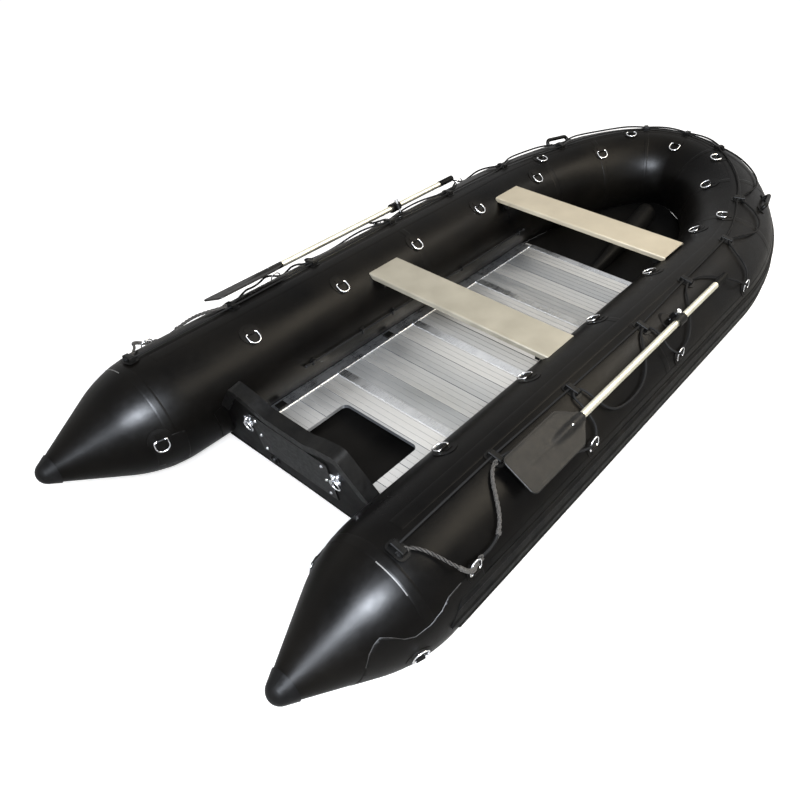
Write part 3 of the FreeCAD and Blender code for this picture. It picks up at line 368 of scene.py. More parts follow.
BLADE = moulded("blade_plastic", dark=(0.010, 0.0095, 0.0085), light=(0.020, 0.0185, 0.0165),
                rough=0.46, gloss=0.12, grain=800.0, depth=0.00012)
RAIL = metal("rail_metal", (0.50, 0.51, 0.53), (0.66, 0.67, 0.68), rough=0.28, along="X")
SEAT = metal("champagne_anodised", (0.490, 0.430, 0.318), (0.535, 0.475, 0.358), rough=0.48,
             streak=0.00003, spread=0.06, bare=0.35)
# The rear bench has the front bench's champagne finish; its darker colour is painted shade.
SEAT_AFT_SHADED = metal("champagne_anodised_shaded", (0.365, 0.335, 0.262), (0.410, 0.378, 0.300), rough=0.48,
                 streak=0.00003, spread=0.06, bare=0.35)
STEEL = metal("polished_steel", (0.60, 0.61, 0.63), (0.76, 0.76, 0.77), rough=0.18, along="X",
              streak=0.00001, spread=0.05)
SHAFT = metal("pale_anodised_tube", (0.62, 0.59, 0.46), (0.74, 0.71, 0.58), rough=0.34, along="X",
              streak=0.00003, spread=0.06)
BOARD = painted_board("painted_plywood", dark=(0.0018, 0.0017, 0.0017), light=(0.0060, 0.0052, 0.0047))
ROPE = rope_fibre("dark_rope", dark=(0.0022, 0.0021, 0.0020), light=(0.0100, 0.0092, 0.0080), sheen=0.0)
GRIP_ROPE = rope_fibre("grey_laid_rope", dark=(0.022, 0.020, 0.018), light=(0.190, 0.180, 0.168), sheen=0.10)

PLANK_COUNT = 16
floor_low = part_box("floor_panel_1")[0]
floor_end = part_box("floor_panel_4")[1]
# The dark groove colour is painted shade on the walls between the planks.
PLANKS = floor_planks("mill_finish_planks", dark=(0.400, 0.408, 0.412), light=(0.620, 0.612, 0.592),
                      stained=(0.42, 0.40, 0.37), groove_shade_colour=(0.055, 0.056, 0.058),
                      first_plank=floor_low.x, plank=(floor_end.x - floor_low.x) / PLANK_COUNT, bare=0.84)

# What the nodes that are carried over look like, by the start of their names

LOOKS = (("floor_panel", PLANKS), ("floor_", RAIL), ("stringer_clips", TRIM), ("stringer", RAIL),
         ("seat_rear_holders", TRIM), ("seat_front_holders", TRIM), ("seat_rear", SEAT_AFT_SHADED), ("seat_", SEAT),
         ("transom_board", BOARD), ("transom_flanges", TAPE), ("transom_", TRIM), ("motor_plates", TRIM),
         ("cone_caps", CAP), ("rub_strake", RUBBER), ("keel_strake", RUBBER), ("ring_pads", PATCH),
         ("rings_", STEEL), ("towing", STEEL), ("inner_line_eyes", TRIM), ("oarlock_pin", STEEL),
         ("oarlock_base", PATCH), ("oar_shaft", SHAFT), ("oar_", TRIM), ("top_lines", ROPE),
         ("inner_lines", ROPE))
for name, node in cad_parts.items():
    look = next((m for start, m in LOOKS if name.startswith(start)), TRIM)
    node.data.materials.clear()
    node.data.materials.append(look)


# Mesh helpers

def piece(name, vertices, faces, material, body="root", uvs=None, mirrored=False):
    """One smooth mesh that rides on a body. mirrored moves it to the starboard side."""
    mesh = bpy.data.meshes.new(name)
    mesh.from_pydata([tuple(flip(v) if mirrored else v) for v in vertices], [], faces)
    if uvs:
        layer = mesh.uv_layers.new(name="uv")
        for loop in mesh.loops:
            layer.data[loop.index].uv = uvs[loop.vertex_index]
    mesh.materials.append(material)
    build = bmesh.new()
    build.from_mesh(mesh)
    bmesh.ops.recalc_face_normals(build, faces=build.faces)
    build.to_mesh(mesh)
    build.free()
    mesh.polygons.foreach_set("use_smooth", [True] * len(mesh.polygons))
    item = add_item(name, mesh)
    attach(item, body)
    return item


def grid_faces(rows, columns, closed=False):
    faces = []
    for i in range(rows - 1):
        for j in range(columns if closed else columns - 1):
            k = (j + 1) % columns
            faces.append((i * columns + j, i * columns + k, (i + 1) * columns + k, (i + 1) * columns + j))
    return faces


def round_faces(rows, count):
    """Faces of a round piece: rings of points with a flat cap at both ends."""
    last = (rows - 1) * count
    return grid_faces(rows, count, True) + [tuple(range(count)), tuple(last + j for j in range(count))]


def sheet_faces(rows, columns):
    """Faces of a closed sheet: two layers of points, one after the other, and the rim between them."""
    half = rows * columns
    layer = grid_faces(rows, columns)
    other = [tuple(index + half for index in reversed(face)) for face in layer]
    rim = [(row * columns + j, 1) for row in (0, rows - 1) for j in range(columns - 1)]
    rim += [(i * columns + column, columns) for column in (0, columns - 1) for i in range(rows - 1)]
    return layer + other + [(a, a + step, a + step + half, a + half) for a, step in rim]


def spaced(start, end, pitch):
    """Even steps from start to end, at about the pitch."""
    steps = max(2, round((end - start) / pitch))
    return [start + (end - start) * i / steps for i in range(steps + 1)]


def circle(count):
    return [2 * pi * j / count for j in range(count)]


def smooth(share):
    share = min(max(share, 0), 1)
    return share * share * (3 - 2 * share)


# Skins of the cones, the side tubes and the bow

CONE_SEAM = CONE_LENGTH - 0.12
BOW_SEAM_SHARES = (0.24, 0.52, 0.80)
SEAMS = (CONE_SEAM, BOW_CHAMBER, *(BOW_CURVE + share * CURVE_LENGTH for share in BOW_SEAM_SHARES))
SIDES = (("port", False), ("starboard", True))
PUCKER_REACH = 0.09
PUCKER_DEPTH = 0.0007
PUCKER_WAVES = (23, 7)
SKIN_UNDER = 0.0002


def puckers(station, angle):
    """Slight gathers of the skin on both sides of a glued seam, in metres."""
    depth = 0.0
    fine, slow = (radians(angle) * count for count in PUCKER_WAVES)
    for seam in SEAMS:
        away = abs(station - seam)
        if away < PUCKER_REACH:
            depth += PUCKER_DEPTH * (1 - away / PUCKER_REACH) ** 2 * sin(fine + seam * 40) * sin(slow + seam)
    return depth


def skin(name, node, stations, mirrored=False, around=112):
    """Smooth air-filled skin through all the stations, with gathers at its seams."""
    vertices, uvs = [], []
    for station in stations:
        for j in range(around):
            angle = 360 * j / around
            vertices.append(on_tube(station, angle, puckers(folded(station), angle) - SKIN_UNDER)[0])
            uvs.append((station, TUBE * radians(angle)))
    faces = grid_faces(len(stations), around, True)
    item = piece(name, vertices, faces, SKIN, uvs=uvs, mirrored=mirrored)
    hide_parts(node)


cone_stations = [0.0001, 0.004, 0.010, 0.018] + spaced(0.03, CONE_LENGTH, 0.012)
tube_stations = spaced(CONE_LENGTH, BOW_CHAMBER, 0.016)
bow_stations = spaced(BOW_CHAMBER, BOW_CURVE, 0.02)[:-1] + spaced(BOW_CURVE, 2 * NOSE - BOW_CURVE, 0.014)
bow_stations += spaced(2 * NOSE - BOW_CURVE, 2 * NOSE - BOW_CHAMBER, 0.02)[1:]
for side, mirrored in SIDES:
    skin("skin_cone_" + side, "cone_" + side, cone_stations, mirrored)
    skin("skin_tube_" + side, "tube_" + side, tube_stations, mirrored)
skin("skin_bow", "bow_tube", bow_stations)


# Tapes and layers glued on the skins

# A tape's section, as shares of its width and of its lift
STRIP_PROFILE = ((-0.5, 0.00005), (-0.46, 1.0), (-0.25, 1.0), (0, 1.0), (0.25, 1.0), (0.46, 1.0),
                 (0.5, 0.00005))
LEAST_RADIUS = 0.02


def strip(name, line, width, lift, material=TAPE, mirrored=False, closed=False):
    """Flat tape on the skin along a line of (station, angle) places, with thin edges."""
    vertices, uvs = [], []
    count, columns = len(line), len(STRIP_PROFILE)
    for i, (station, angle) in enumerate(line):
        before = line[i - 1] if i or closed else line[i]
        after = line[(i + 1) % count] if i < count - 1 or closed else line[i]
        radius = max(radius_at(folded(station)), LEAST_RADIUS)
        ahead = after[0] - before[0]
        aside = radians((after[1] - before[1] + 180) % 360 - 180) * radius
        size = max(hypot(ahead, aside), 1e-9)
        for share, lift_share in STRIP_PROFILE:
            s = station - aside / size * width * share
            a = angle + degrees(ahead / size * width * share / radius)
            vertices.append(on_tube(s, a, lift * lift_share)[0])
            uvs.append((s, radians(a) * radius))
    faces = grid_faces(count, columns)
    if closed:
        last = (count - 1) * columns
        faces += [(last + j, last + j + 1, j + 1, j) for j in range(columns - 1)]
    piece(name, vertices, faces, material, uvs=uvs, mirrored=mirrored)


def patch(name, outline, lift, mirrored, pitch=0.012, under=0.0008):
    """Fabric layer glued on the skin inside an outline of (station, angle) corners."""
    build = bmesh.new()
    corners = [build.verts.new((s, radians(a) * TUBE, 0)) for s, a in outline]
    build.faces.new(corners)
    spans = [(min(c.co[i] for c in corners), max(c.co[i] for c in corners)) for i in (0, 1)]
    for (low, high), way in zip(spans, (Vector((1, 0, 0)), Vector((0, 1, 0)))):
        cut = low + pitch
        while cut < high:
            geometry = build.verts[:] + build.edges[:] + build.faces[:]
            bmesh.ops.bisect_plane(build, geom=geometry, plane_co=way * cut, plane_no=way)
            cut += pitch
    build.verts.index_update()
    flat = [(v.co.x, v.co.y) for v in build.verts]
    faces = [tuple(v.index for v in f.verts) for f in build.faces]
    rim_edges = [tuple(v.index for v in e.verts) for e in build.edges if e.is_boundary]
    build.free()
    rim = sorted({index for edge in rim_edges for index in edge})
    lower = {index: len(flat) + i for i, index in enumerate(rim)}
    places = [(place, lift) for place in flat] + [(flat[index], -under) for index in rim]
    vertices = [on_tube(s, degrees(a / TUBE), height)[0] for (s, a), height in places]
    faces += [(a, b, lower[b], lower[a]) for a, b in rim_edges]
    uvs = [place for place, height in places]
    piece(name, vertices, faces, PATCH, uvs=uvs, mirrored=mirrored)


def along_tube(start, angle, bow_turn=0.0):
    """Places from a station to the nose at one angle, which may turn a little round the bow."""
    return [(s, angle - bow_turn * bow_share(s)) for s in spaced(start, NOSE - 0.004, 0.03)]


# Each tape's width and lift, and each layer's lift
SEAM_BAND = (0.038, 0.0006)
CONE_HIGHLIGHT = (0.0035, 0.0014)
CONE_HIGHLIGHT_ANGLES = (50, 84)
CHAFE_EDGE = (0.0022, 0.0015)
TOP_LAYER = (0.055, 0.0008)
LOWER_LAYER = (0.030, 0.0009)
BOTTOM_TAPE = (0.055, 0.0007)
CHAFE_LIFT = 0.0012
INNER_LIFT = 0.0011
CHAFE_EDGE_LINE = [(0.215, -20), (0.240, 10), (0.261, 26), (0.282, 33), (0.303, 36), (0.33, 30), (0.36, 22),
                   (0.393, 18), (0.447, 19), (0.50, 23), (0.537, 28), (0.60, 29), (0.70, 29)]
CHAFE = [(0.205, -62)] + CHAFE_EDGE_LINE + [(0.70, -40), (0.60, -62)]
INNER_PATCH = [(0.366, 164), (0.498, 170), (0.505, 215), (0.372, 206)]

for side, mirrored in SIDES:
    for i, seam in enumerate(SEAMS):
        ring = [(seam, 3 * j) for j in range(120)]
        strip("seam_band_%s_%d" % (side, i), ring, *SEAM_BAND, mirrored=mirrored, closed=True)
    # The pale line at the cone seam, only from 50 to 84 degrees round, is a painted highlight on the glue
    # edge.
    cone_highlight = [(CONE_SEAM - SEAM_BAND[0] / 2, angle) for angle in spaced(*CONE_HIGHLIGHT_ANGLES, 3.0)]
    strip("cone_seam_highlight_" + side, cone_highlight, *CONE_HIGHLIGHT, SEAM_HIGHLIGHT, mirrored)
    patch("chafe_layer_" + side, CHAFE, CHAFE_LIFT, mirrored)
    strip("chafe_edge_" + side, CHAFE_EDGE_LINE[1:-1], *CHAFE_EDGE, EDGE, mirrored)
    patch("inner_patch_" + side, INNER_PATCH, INNER_LIFT, mirrored)
    strip("top_layer_" + side, along_tube(0.56, 93.0, 3.0), *TOP_LAYER, mirrored=mirrored)
    strip("lower_layer_" + side, along_tube(0.74, 21.5), *LOWER_LAYER, mirrored=mirrored)
    strip("bottom_tape_" + side, along_tube(0.76, 231.5), *BOTTOM_TAPE, mirrored=mirrored)

# Bottom skin and air keel

SEAM_ANGLE = 227.0
FABRIC = 0.005
SKIN_GAP = 0.0009
SEAM_GAP = 0.0026
STRAKE_THICKNESS = 0.006
BOTTOM_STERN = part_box("hull_bottom")[0].x - ORIGIN
KEEL_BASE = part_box("keel_strake")[0].z - GROUND + STRAKE_THICKNESS
KEEL_RISE_START = 2.940
KEEL_RISE_POWER = 1.8
FAIR = 0.420
BOARD_THICKNESS = 0.045
BOARD_FOOT = 0.080
BOTTOM_SLACK = 0.005
STERN_LIFT = BOARD_FOOT - BOTTOM_SLACK - FABRIC - KEEL_BASE


def seam_point(station, lift=0.0):
    """Where the bottom meets the tube. lift is 0 at the sheet's outer face and 1 at its inner one."""
    gap = SKIN_GAP + (SEAM_GAP - SKIN_GAP) * bow_share(station)
    step = degrees(FABRIC / TUBE)
    return on_tube(station, SEAM_ANGLE + step / 2 - step * lift, gap)[0]


NOSE_SEAM = seam_point(NOSE)


def keel_height(x):
    """Underside of the bottom on the centreline. x is measured from the cone tips."""
    fair = 1 - smooth((x - BOTTOM_STERN - BOARD_THICKNESS) / FAIR)
    span = NOSE_SEAM.x - ORIGIN - KEEL_RISE_START
    rise = max(0, (x - KEEL_RISE_START) / span) ** KEEL_RISE_POWER
    return GROUND + KEEL_BASE + fair * STERN_LIFT + rise * (NOSE_SEAM.z - GROUND - KEEL_BASE)


def bottom_sheet():
    """V bottom between its two seams, straight from each seam to the keel."""
    stations = spaced(BOTTOM_STERN, BOW_CHAMBER, 0.04)[:-1] + spaced(BOW_CHAMBER, NOSE - 0.03, 0.03)
    shares = [-1 + i / 12 for i in range(25)]
    vertices, uvs = [], []
    for layer in (0, 1):
        for station in stations:
            low = seam_point(station, layer)
            keel = keel_height(low.x - ORIGIN) + FABRIC * layer
            for share in shares:
                vertices.append(Vector((low.x, low.y * share, keel + (low.z - keel) * abs(share))))
                uvs.append((station, low.y * share))
    faces = sheet_faces(len(stations), len(shares))
    item = piece("bottom_sheet", vertices, faces, BOTTOM, uvs=uvs)
    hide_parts("hull_bottom")


def keel_lean(station):
    """Length of the V's slope for each metre across, which sets how high a round keel sits in it."""
    low = seam_point(station)
    return sqrt(1 + ((low.z - keel_height(low.x - ORIGIN)) / low.y) ** 2)


keel_low, keel_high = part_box("keel_tube")
KEEL_NOSE = 0.062
FLOOR_CLEARANCE = 0.006
KEEL_AFT = (floor_low.z - GROUND - KEEL_BASE - FABRIC - FLOOR_CLEARANCE) / (1 + keel_lean(BOW_CHAMBER))
GROW_LENGTH = REACH * 0.45


def keel_circle(station):
    """Centre and radius of the air keel at a station of the tubes."""
    x = seam_point(station).x
    radius = KEEL_AFT + (KEEL_NOSE - KEEL_AFT) * smooth((x - floor_end.x) / GROW_LENGTH)
    lift = (FABRIC + SKIN_GAP + radius) * keel_lean(station)
    return Vector((x, 0, keel_height(x - ORIGIN) + lift)), radius


def air_keel():
    """Round air keel that grows towards the bow, with a flat end at both ends."""
    first = next(s for s in spaced(1.0, 1.6, 0.005) if seam_point(s).x >= keel_low.x)
    last = next(s for s in spaced(BOW_CURVE, NOSE, 0.002) if seam_point(s).x >= keel_high.x)
    stations = spaced(first, last, 0.025)
    around = 40
    vertices, uvs = [], []
    for station in stations:
        centre, radius = keel_circle(station)
        for angle in circle(around):
            vertices.append(centre + Vector((0, cos(angle), sin(angle))) * (radius - SKIN_UNDER))
            uvs.append((station, angle * radius))
    faces = grid_faces(len(stations), around, True)
    for row in (0, len(stations) - 1):
        middle = len(vertices)
        vertices.append(keel_circle(stations[row])[0])
        uvs.append((stations[row], 0))
        faces += [(row * around + j, row * around + (j + 1) % around, middle) for j in range(around)]
    item = piece("air_keel", vertices, faces, BOTTOM, uvs=uvs)
    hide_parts("keel_tube")


bottom_sheet()
air_keel()


# Turned pieces

def placed(vertices, point, normal, forward):
    """Vertices whose x runs forward, y across and z along the normal from a point."""
    across = normal.cross(forward)
    return [point + forward * v[0] + across * v[1] + normal * v[2] for v in vertices]


def turned(name, profile, place, body="root", count=28, mirrored=False):
    """Steel piece turned about its normal from a profile of (radius, height) points."""
    flat = [(radius * cos(angle), radius * sin(angle), height)
            for radius, height in profile for angle in circle(count)]
    faces = round_faces(len(profile), count)
    item = piece(name, placed(flat, *place), faces, STEEL, body, mirrored=mirrored)
    item.data.polygons.foreach_set("use_smooth", [len(p.vertices) == 4 for p in item.data.polygons])


BOLT = ((0.0075, 0.0), (0.0075, 0.0012), (0.0070, 0.0016), (0.0052, 0.0018), (0.0050, 0.0046),
        (0.0043, 0.0052), (0.0008, 0.0055))
EYE_RIVET = ((0.0032, 0.0), (0.0030, 0.0010), (0.0020, 0.0018), (0.0004, 0.0021))
BLADE_RIVET = ((0.0048, -0.001), (0.0046, 0.0006), (0.0030, 0.0016), (0.0004, 0.0019))

# Bolts of the motor plates and rivets of the towing eyes, on the raked transom

# Ahead of the cone's tip and above the ground: the low top edge of the board's stern face
STERN_AT = 0.6616
TOP_AT = 0.430
RAKE = radians(11.3)
FACE_NORMAL = Vector((-cos(RAKE), 0, -sin(RAKE)))
FACE_UP = Vector((-sin(RAKE), 0, cos(RAKE)))
PLATE = 0.005
PLATE_TOP = -0.042
PLATE_BOLT_ACROSS = 0.185
PLATE_BOLT_DROPS = (0.028, 0.115, 0.202)
EYE_ACROSS = 0.244
EYE_DOWN = 0.107
EYE_BASE = 0.0043
EYE_RIVET_RING = 0.019


def on_board(x, y, z):
    """Point of the raked board: x ahead of its stern face, z above its low top edge."""
    return Vector((STERN_AT + ORIGIN, y, TOP_AT + GROUND)) - FACE_NORMAL * x + FACE_UP * z


bolts = [(sign * PLATE_BOLT_ACROSS, PLATE_TOP - drop) for sign in (-1, 1) for drop in PLATE_BOLT_DROPS]
for i, (y, z) in enumerate(bolts):
    turned("plate_bolt_aft_%d" % i, BOLT, (on_board(-PLATE, y, z), FACE_NORMAL, FACE_UP))
    turned("plate_bolt_fore_%d" % i, BOLT, (on_board(BOARD_THICKNESS + PLATE, y, z), -FACE_NORMAL, FACE_UP))
for side, sign in (("starboard", -1), ("port", 1)):
    for i, around_eye in enumerate((45, 135, 225, 315)):
        y = sign * EYE_ACROSS + EYE_RIVET_RING * cos(radians(around_eye))
        z = EYE_RIVET_RING * sin(radians(around_eye)) - EYE_DOWN
        place = (on_board(-EYE_BASE, y, z), FACE_NORMAL, FACE_UP)
        turned("eye_rivet_%s_%d" % (side, i), EYE_RIVET, place, count=14)

# Oars: lengths run aft from the blade's root, and the shaft lies beside the pin

PIVOT = 2.190
PIN_ANGLE = 63.0
OAR_HEIGHT = 0.042
OFFSET = 0.030
BLADE_ROOT = 1.383 - PIVOT
SHAFT_END = 2.566 - PIVOT
BLADE_LENGTH = 0.410
BLADE_HALF = 0.0825
BLADE_SHOULDER = 0.092
BLADE_CORNER = 0.026
SOCKET_HALF = 0.021
LEAST_HALF = 0.004
BLADE_RIVET_AT = 0.075
BLADE_RIVET_HEIGHT = 0.0146
pin_foot, pin_axis, _ = on_tube(PIVOT, PIN_ANGLE)


def blade_half_width(u):
    """Half width of the blade at a distance from its root."""
    if u < BLADE_SHOULDER:
        share = u / BLADE_SHOULDER
        return SOCKET_HALF + (BLADE_HALF - SOCKET_HALF) * (smooth(share) + share) / 2
    past = u - BLADE_LENGTH + BLADE_CORNER
    if past > 0:
        return BLADE_HALF - BLADE_CORNER + sqrt(max(BLADE_CORNER ** 2 - past ** 2, 0))
    return BLADE_HALF


def blade_height(u, v, from_edge):
    """Half thickness of the blade: web, bead along the edge, socket ridge and centre rib."""
    thick = 0.0022 + 0.0018 * max(0, 1 - abs(from_edge - 0.004) / 0.004)
    if from_edge < 0.0025:
        thick = 0.0012 + 0.0028 * (from_edge / 0.0025) ** 0.5
    ridge = 0.0148 * max(0, 1 - (v / 0.0175) ** 2) ** 0.5 * (1 - smooth((u - 0.09) / 0.15))
    rib = 0.0014 * max(0, 1 - (v / 0.006) ** 2) * smooth((0.36 - u) / 0.05)
    return min(max(thick, ridge) + rib, 0.0149)


def blade(side, mirrored):
    """Moulded blade with a socket ridge that fades towards the tip, ribs and a bead round its edge."""
    lengths = [0.0, 0.004] + spaced(0.012, 0.384, 0.012) + [0.390, 0.396, 0.401, 0.405, 0.408, 0.4097]
    shares = [0.07, 0.13, 0.19, 0.26, 0.36, 0.5, 0.65, 0.8, 0.9, 0.95, 0.985, 1]
    shares = [-share for share in reversed(shares)] + [0] + shares
    vertices = []
    for face in (1, -1):
        for u in lengths:
            half = max(blade_half_width(u), LEAST_HALF)
            for share in shares:
                from_edge = min(half * (1 - abs(share)), BLADE_LENGTH + 0.0001 - u)
                height = blade_height(u, half * share, from_edge)
                vertices.append((BLADE_ROOT - u, OFFSET + half * share, OAR_HEIGHT + face * height))
    vertices = placed(vertices, pin_foot, pin_axis, FORWARD)
    faces = sheet_faces(len(lengths), len(shares))
    body = "oar_" + side
    item = piece("blade_" + side, vertices, faces, BLADE, body, mirrored=mirrored)
    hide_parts("oar_blade_" + side)
    rivet_at = (BLADE_ROOT - BLADE_RIVET_AT, OFFSET, OAR_HEIGHT + BLADE_RIVET_HEIGHT)
    point = placed([rivet_at], pin_foot, pin_axis, FORWARD)[0]
    turned("blade_rivet_" + side, BLADE_RIVET, (point, pin_axis, FORWARD), body, 18, mirrored)


def grip(side, mirrored):
    """Ribbed rubber grip with a rounded end."""
    around, ribs, rib_pitch = 28, 11, 0.0098
    core, outer = 0.0150, 0.0168
    profile = [(0.0145, 0.0), (outer, 0.001)]
    for i in range(ribs):
        at = 0.006 + i * rib_pitch
        profile += [(core, at), (outer, at + 0.0022), (outer, at + 0.0062), (core, at + 0.0084)]
    profile += [(0.0166, 0.1155), (core, 0.1185), (0.0100, 0.1198), (0.001, 0.12)]
    vertices = [(SHAFT_END + at, OFFSET + radius * cos(angle), OAR_HEIGHT + radius * sin(angle))
                for radius, at in profile for angle in circle(around)]
    vertices = placed(vertices, pin_foot, pin_axis, FORWARD)
    faces = round_faces(len(profile), around)
    item = piece("grip_" + side, vertices, faces, RUBBER, "oar_" + side, mirrored=mirrored)
    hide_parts("oar_grip_" + side)


for side, mirrored in SIDES:
    blade(side, mirrored)
    grip(side, mirrored)

# Lifelines: the route's places are (station in mm, angle, height over the skin in mm)

ROUTE = [
    (484, 75.7, 9.5), (518, 75, 10.5), (548, 67, 12.5), (573, 56, 14), (590, 46, 27),
    (620, 34.5, 48.5), (681, 33.5, 9), (756, 32.5, 9.5), (804, 36, 11.5), (844, 45, 13),
    (878, 57, 13), (914, 68, 12.5), (957, 75, 11), (1000, 76.7, 9.5), (1052, 75, 11),
    (1105, 67, 13), (1165, 54, 13), (1225, 44, 13), (1286, 38, 25), (1351, 34.5, 46),
    (1420, 33, 8.7), (1447, 41, 11), (1447, 51, 13), (1449, 62, 12.5), (1450, 70.5, 11),
    (1471, 74.7, 9.5), (1497, 74.7, 9.5), (1516, 71, 11), (1522, 62, 12.5), (1533, 52, 13),
    (1556, 44, 12.5), (1600, 38.5, 11.5), (1665, 35.5, 10.5), (1735, 35, 10.5), (1805, 37.5, 11),
    (1864, 45, 12.5), (1914, 56, 13), (1958, 66, 12), (1996, 72.5, 10.5), (2030, 74.5, 9.5),
    (2058, 72.4, 10), (2071, 65, 11), (2069, 57, 12.5), (2061, 51, 14.5), (2046, 43.5, 28),
    (2077, 34.5, 47), (2140, 33.5, 8.8), (2205, 34, 10.5), (2262, 42, 13), (2320, 53, 13),
    (2380, 64, 13), (2440, 74, 11.5), (2504, 77.7, 9.5), (2566, 76, 11), (2632, 68, 13),
    (2700, 57, 13), (2758, 46, 25), (2803, 34.5, 47), (2865, 33.5, 8.7), (2902, 41, 11),
    (2908, 51, 13), (2916, 61, 12.5), (2930, 70, 12), (2954, 78, 10), (2996, 79.8, 10),
    (3040, 74, 12), (3090, 67, 13), (3140, 61, 13), (3190, 57, 13), (3256, 58, 13),
    (3308, 66, 13), (3348, 77, 12), (3372, 84.5, 10), (3402, 86, 10), (3444, 82, 12),
    (3500, 73, 13), (3566, 65, 13), (3640, 59, 13), (3722, 57, 13), (3802, 60, 13),
    (3874, 67, 13), (3940, 76, 12), (4004, 81.8, 9.5), (4060, 80, 11.5), (4120, 77, 12),
    (4180, 77, 12), (4240, 80, 11), (4288, 81.7, 9.5)]
ROPE_RADIUS = 0.005
ROPE_PITCH = 0.003


def read_line(name, points):
    """Points of the smooth line that a spline makes of its control points."""
    curve = bpy.data.curves.new(name, "CURVE")
    curve.dimensions = "3D"
    curve.resolution_u = 12
    spline = curve.splines.new("NURBS")
    spline.points.add(len(points) - 1)
    for target, point in zip(spline.points, points):
        target.co = (*point, 1)
    spline.order_u = 3
    spline.use_endpoint_u = True
    item = add_item(name, curve)
    bpy.context.view_layer.update()
    mesh = bpy.data.meshes.new_from_object(item)
    line = [v.co.copy() for v in mesh.vertices]
    bpy.data.objects.remove(item)
    bpy.data.curves.remove(curve)
    bpy.data.meshes.remove(mesh)
    return line


def even_line(line, pitch):
    """The same line with evenly spaced points, and its length."""
    distances = [0.0]
    for a, b in zip(line, line[1:]):
        distances.append(distances[-1] + (b - a).length)
    total = distances[-1]
    count = round(total / pitch)
    points, j = [], 0
    for i in range(count + 1):
        d = total * i / count
        while j < len(line) - 2 and distances[j + 1] < d:
            j += 1
        span = distances[j + 1] - distances[j]
        share = (d - distances[j]) / span if span else 0
        points.append(line[j].lerp(line[j + 1], min(max(share, 0), 1)))
    return points, total


def along(name, points, radius, around, shape, material):
    """Round section carried along points. shape(angle, distance) scales its radius."""
    side_way = (points[1] - points[0]).normalized().orthogonal().normalized()
    vertices, distance = [], 0.0
    for i, point in enumerate(points):
        before = points[max(i - 1, 0)]
        way = (points[min(i + 1, len(points) - 1)] - before).normalized()
        side_way = (side_way - way * side_way.dot(way)).normalized()
        other = way.cross(side_way)
        distance += (point - before).length
        for angle in circle(around):
            size = radius * shape(angle, distance)
            vertices.append(point + side_way * cos(angle) * size + other * sin(angle) * size)
    return piece(name, vertices, round_faces(len(points), around), material)


def braided(angle, distance):
    return 0.97 + 0.05 * cos(4 * angle + distance * 420) * cos(4 * angle - distance * 420)


def laid(angle, distance):
    """Three strands that go once round in 60 mm."""
    return 0.62 + 0.38 * abs(cos(1.5 * (angle - distance * 2 * pi / 0.060)))


def whipped(angle, distance):
    """Close turns of thin line round the rope."""
    return 0.95 + 0.05 * cos(distance * 2 * pi / 0.0042)


def knot(name, point, way, size, wire, material):
    """Small overhand knot drawn round a line."""
    way = way.normalized()
    side_way = way.orthogonal().normalized()
    other = way.cross(side_way)
    steps = 72
    points = []
    for i in range(steps + 1):
        t = 2 * pi * i / steps
        x = (sin(t) + 2 * sin(2 * t)) / 3
        y = (cos(t) - 2 * cos(2 * t)) / 3
        z = -sin(3 * t)
        points.append(point + side_way * x * size + other * y * size + way * z * size * 0.8)
    return along(name, points, wire, 10, laid, material)


# Sleeves of the stern spans: where they start and end, radius, shape and how far they lie beside the rope
GRIPS = ((0.512, 0.602, 0.0058, laid, 0.0), (0.598, 0.664, 0.0084, whipped, 0.0),
         (0.706, 0.812, 0.0034, laid, 0.0088), (0.802, 0.972, 0.0074, laid, 0.0))
# Knots: where they sit, and the size and line thickness of those on the span and of the one at the stern
KNOTS = (0.512, 0.672, 0.700, 0.806, 0.978)
SPAN_KNOT = (0.0085, 0.0030)
STERN_KNOT = (0.0075, 0.0038)


def grips_and_knots(side, points):
    """Sleeves and knots on a lifeline's stern spans, which follow the rope's own points."""
    def at(place):
        return next(k for k, p in enumerate(points) if p.x - ORIGIN > place)

    extras = []
    for i, (start, end, radius, shape, beside) in enumerate(GRIPS):
        span = [p + Vector((beside, 0, 0)) for p in points[at(start):at(end)]]
        extras.append(along("rope_grip_%s_%d" % (side, i), span, radius, 24, shape, GRIP_ROPE))
    for i, place in enumerate(KNOTS):
        k = at(place)
        way = points[k + 1] - points[k - 1]
        extras.append(knot("grip_knot_%s_%d" % (side, i), points[k], way, *SPAN_KNOT, GRIP_ROPE))
    extras.append(knot("stern_knot_" + side, points[1], points[3] - points[0], *STERN_KNOT, ROPE))
    return extras


route_points = [on_tube(s / 1000, a, h / 1000)[0] for s, a, h in ROUTE]
for side, mirrored in SIDES:
    control = [flip(p) for p in route_points] if mirrored else route_points
    line = read_line("lifeline_route_" + side, control)
    points, length = even_line(line, ROPE_PITCH)
    rope = along("lifeline_rope_" + side, points, ROPE_RADIUS, 16, braided, ROPE)
    extras = grips_and_knots(side, points)
    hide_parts("lifeline_" + side)

# Floor and background

FLOOR_HALF = 60.0
FLOOR_GLOW = 0.68
WORLD_LIGHT = 0.38


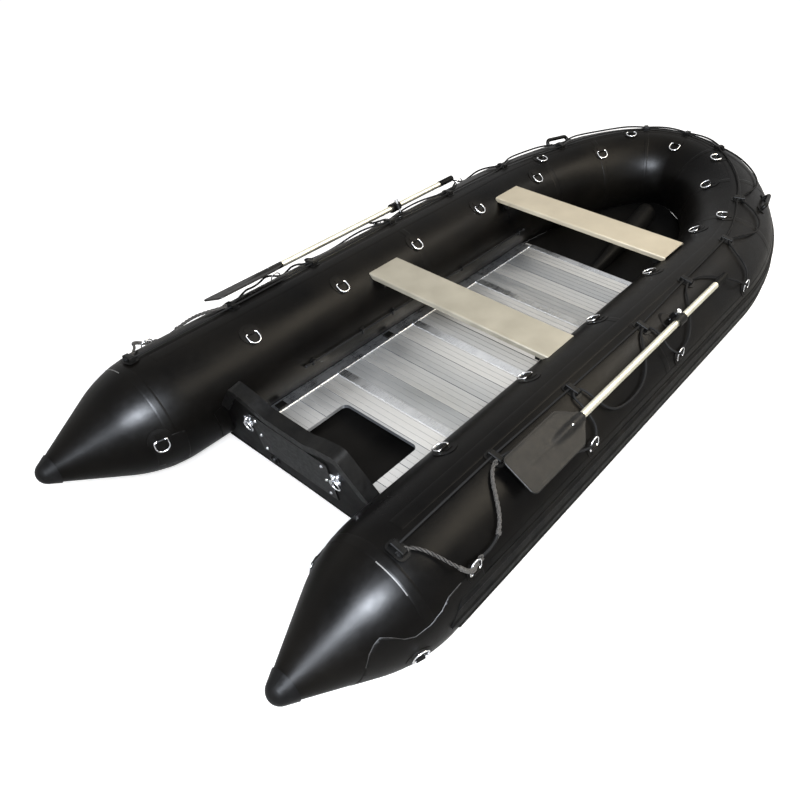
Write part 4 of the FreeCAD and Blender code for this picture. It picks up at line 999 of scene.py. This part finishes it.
def pale_floor():
    """Wide pale floor that glows for the camera alone, so that it keeps the shadow and meets a white sky."""
    mesh = bpy.data.meshes.new("ground")
    corners = [(x * FLOOR_HALF, y * FLOOR_HALF, 0) for x, y in ((-1, -1), (1, -1), (1, 1), (-1, 1))]
    mesh.from_pydata(corners, [], [(0, 1, 2, 3)])
    ground = add_item("ground", mesh)
    s = Shader("pale_paper")
    s.main.inputs["Base Color"].default_value = (0.86, 0.86, 0.86, 1)
    s.main.inputs["Roughness"].default_value = 0.9
    s.main.inputs["Specular IOR Level"].default_value = 0.0
    glow = s.node("Emission")
    seen = s.node("LightPath").outputs["Is Camera Ray"]
    s.link(s.maths("MULTIPLY", seen, FLOOR_GLOW), glow.inputs["Strength"])
    both = s.node("AddShader")
    s.link(s.main.outputs["BSDF"], both.inputs[0])
    s.link(glow.outputs["Emission"], both.inputs[1])
    s.link(both.outputs["Shader"], s.tree.nodes["Material Output"].inputs["Surface"])
    mesh.materials.append(s.material)


def white_world():
    """World that lights at a plain level and is white where it is seen, mirrored or seen through."""
    world = bpy.data.worlds.new("studio")
    bpy.context.scene.world = world
    world.use_nodes = True
    s = Nodes(world.node_tree)
    background = s.tree.nodes["Background"]
    background.inputs["Color"].default_value = (1, 1, 1, 1)
    ray = s.node("LightPath").outputs
    seen = s.maths("MAXIMUM", ray["Is Camera Ray"],
                   s.maths("MAXIMUM", ray["Is Glossy Ray"], ray["Is Transmission Ray"]))
    strength = s.maths("ADD", s.maths("MULTIPLY", seen, 1 - WORLD_LIGHT), WORLD_LIGHT)
    s.link(strength, background.inputs["Strength"])


pale_floor()
white_world()

# Softboxes: a key over the stern, a fill on the starboard side and a weak one ahead

KEY_TARGET = Vector((-1.74, -0.15, 0.42))
KEY_WAY = Vector((-0.395, -0.520, 0.757)).normalized()
SIDE_TARGET = Vector((-0.6, -0.3, 0.4))
FILL_WAY = Vector((0.45, -0.45, 0.77))
SIDE_WAY = Vector((0.52, -0.42, 0.74)).normalized()
BOW_TARGET = Vector((1.5, 0.1, 0.4))
BOW_OFFSET = Vector((2.4, -1.7, 3.2))


def softbox(name, target, offset, size, power, colour, sheen_only=False):
    """Area lamp that looks at a target. With sheen_only it shows in glossy surfaces alone."""
    lamp = bpy.data.lights.new(name, "AREA")
    lamp.shape = "RECTANGLE"
    lamp.size, lamp.size_y = size
    lamp.energy = power
    lamp.color = colour
    item = add_item(name, lamp)
    item.visible_diffuse = not sheen_only
    item.location = target + offset
    item.rotation_euler = (-offset).to_track_quat("-Z", "Y").to_euler()


softbox("key_light", KEY_TARGET, KEY_WAY * 4.2, (1.35, 0.55), 120, (0.93, 0.96, 1.0))
softbox("fill_light", SIDE_TARGET, FILL_WAY * 4.4, (3.2, 2.6), 85, (1.0, 0.93, 0.80))
softbox("cone_sheen", KEY_TARGET, KEY_WAY * 4.1, (1.45, 0.95), 2000, (0.84, 0.90, 1.0), True)
softbox("side_sheen", SIDE_TARGET, SIDE_WAY * 4.4, (3.4, 1.5), 130, (1.0, 0.87, 0.66), True)
softbox("bow_light", BOW_TARGET, BOW_OFFSET, (1.2, 0.8), 28, (1.0, 0.97, 0.92))

scene = bpy.context.scene
scene.view_settings.view_transform = "Standard"
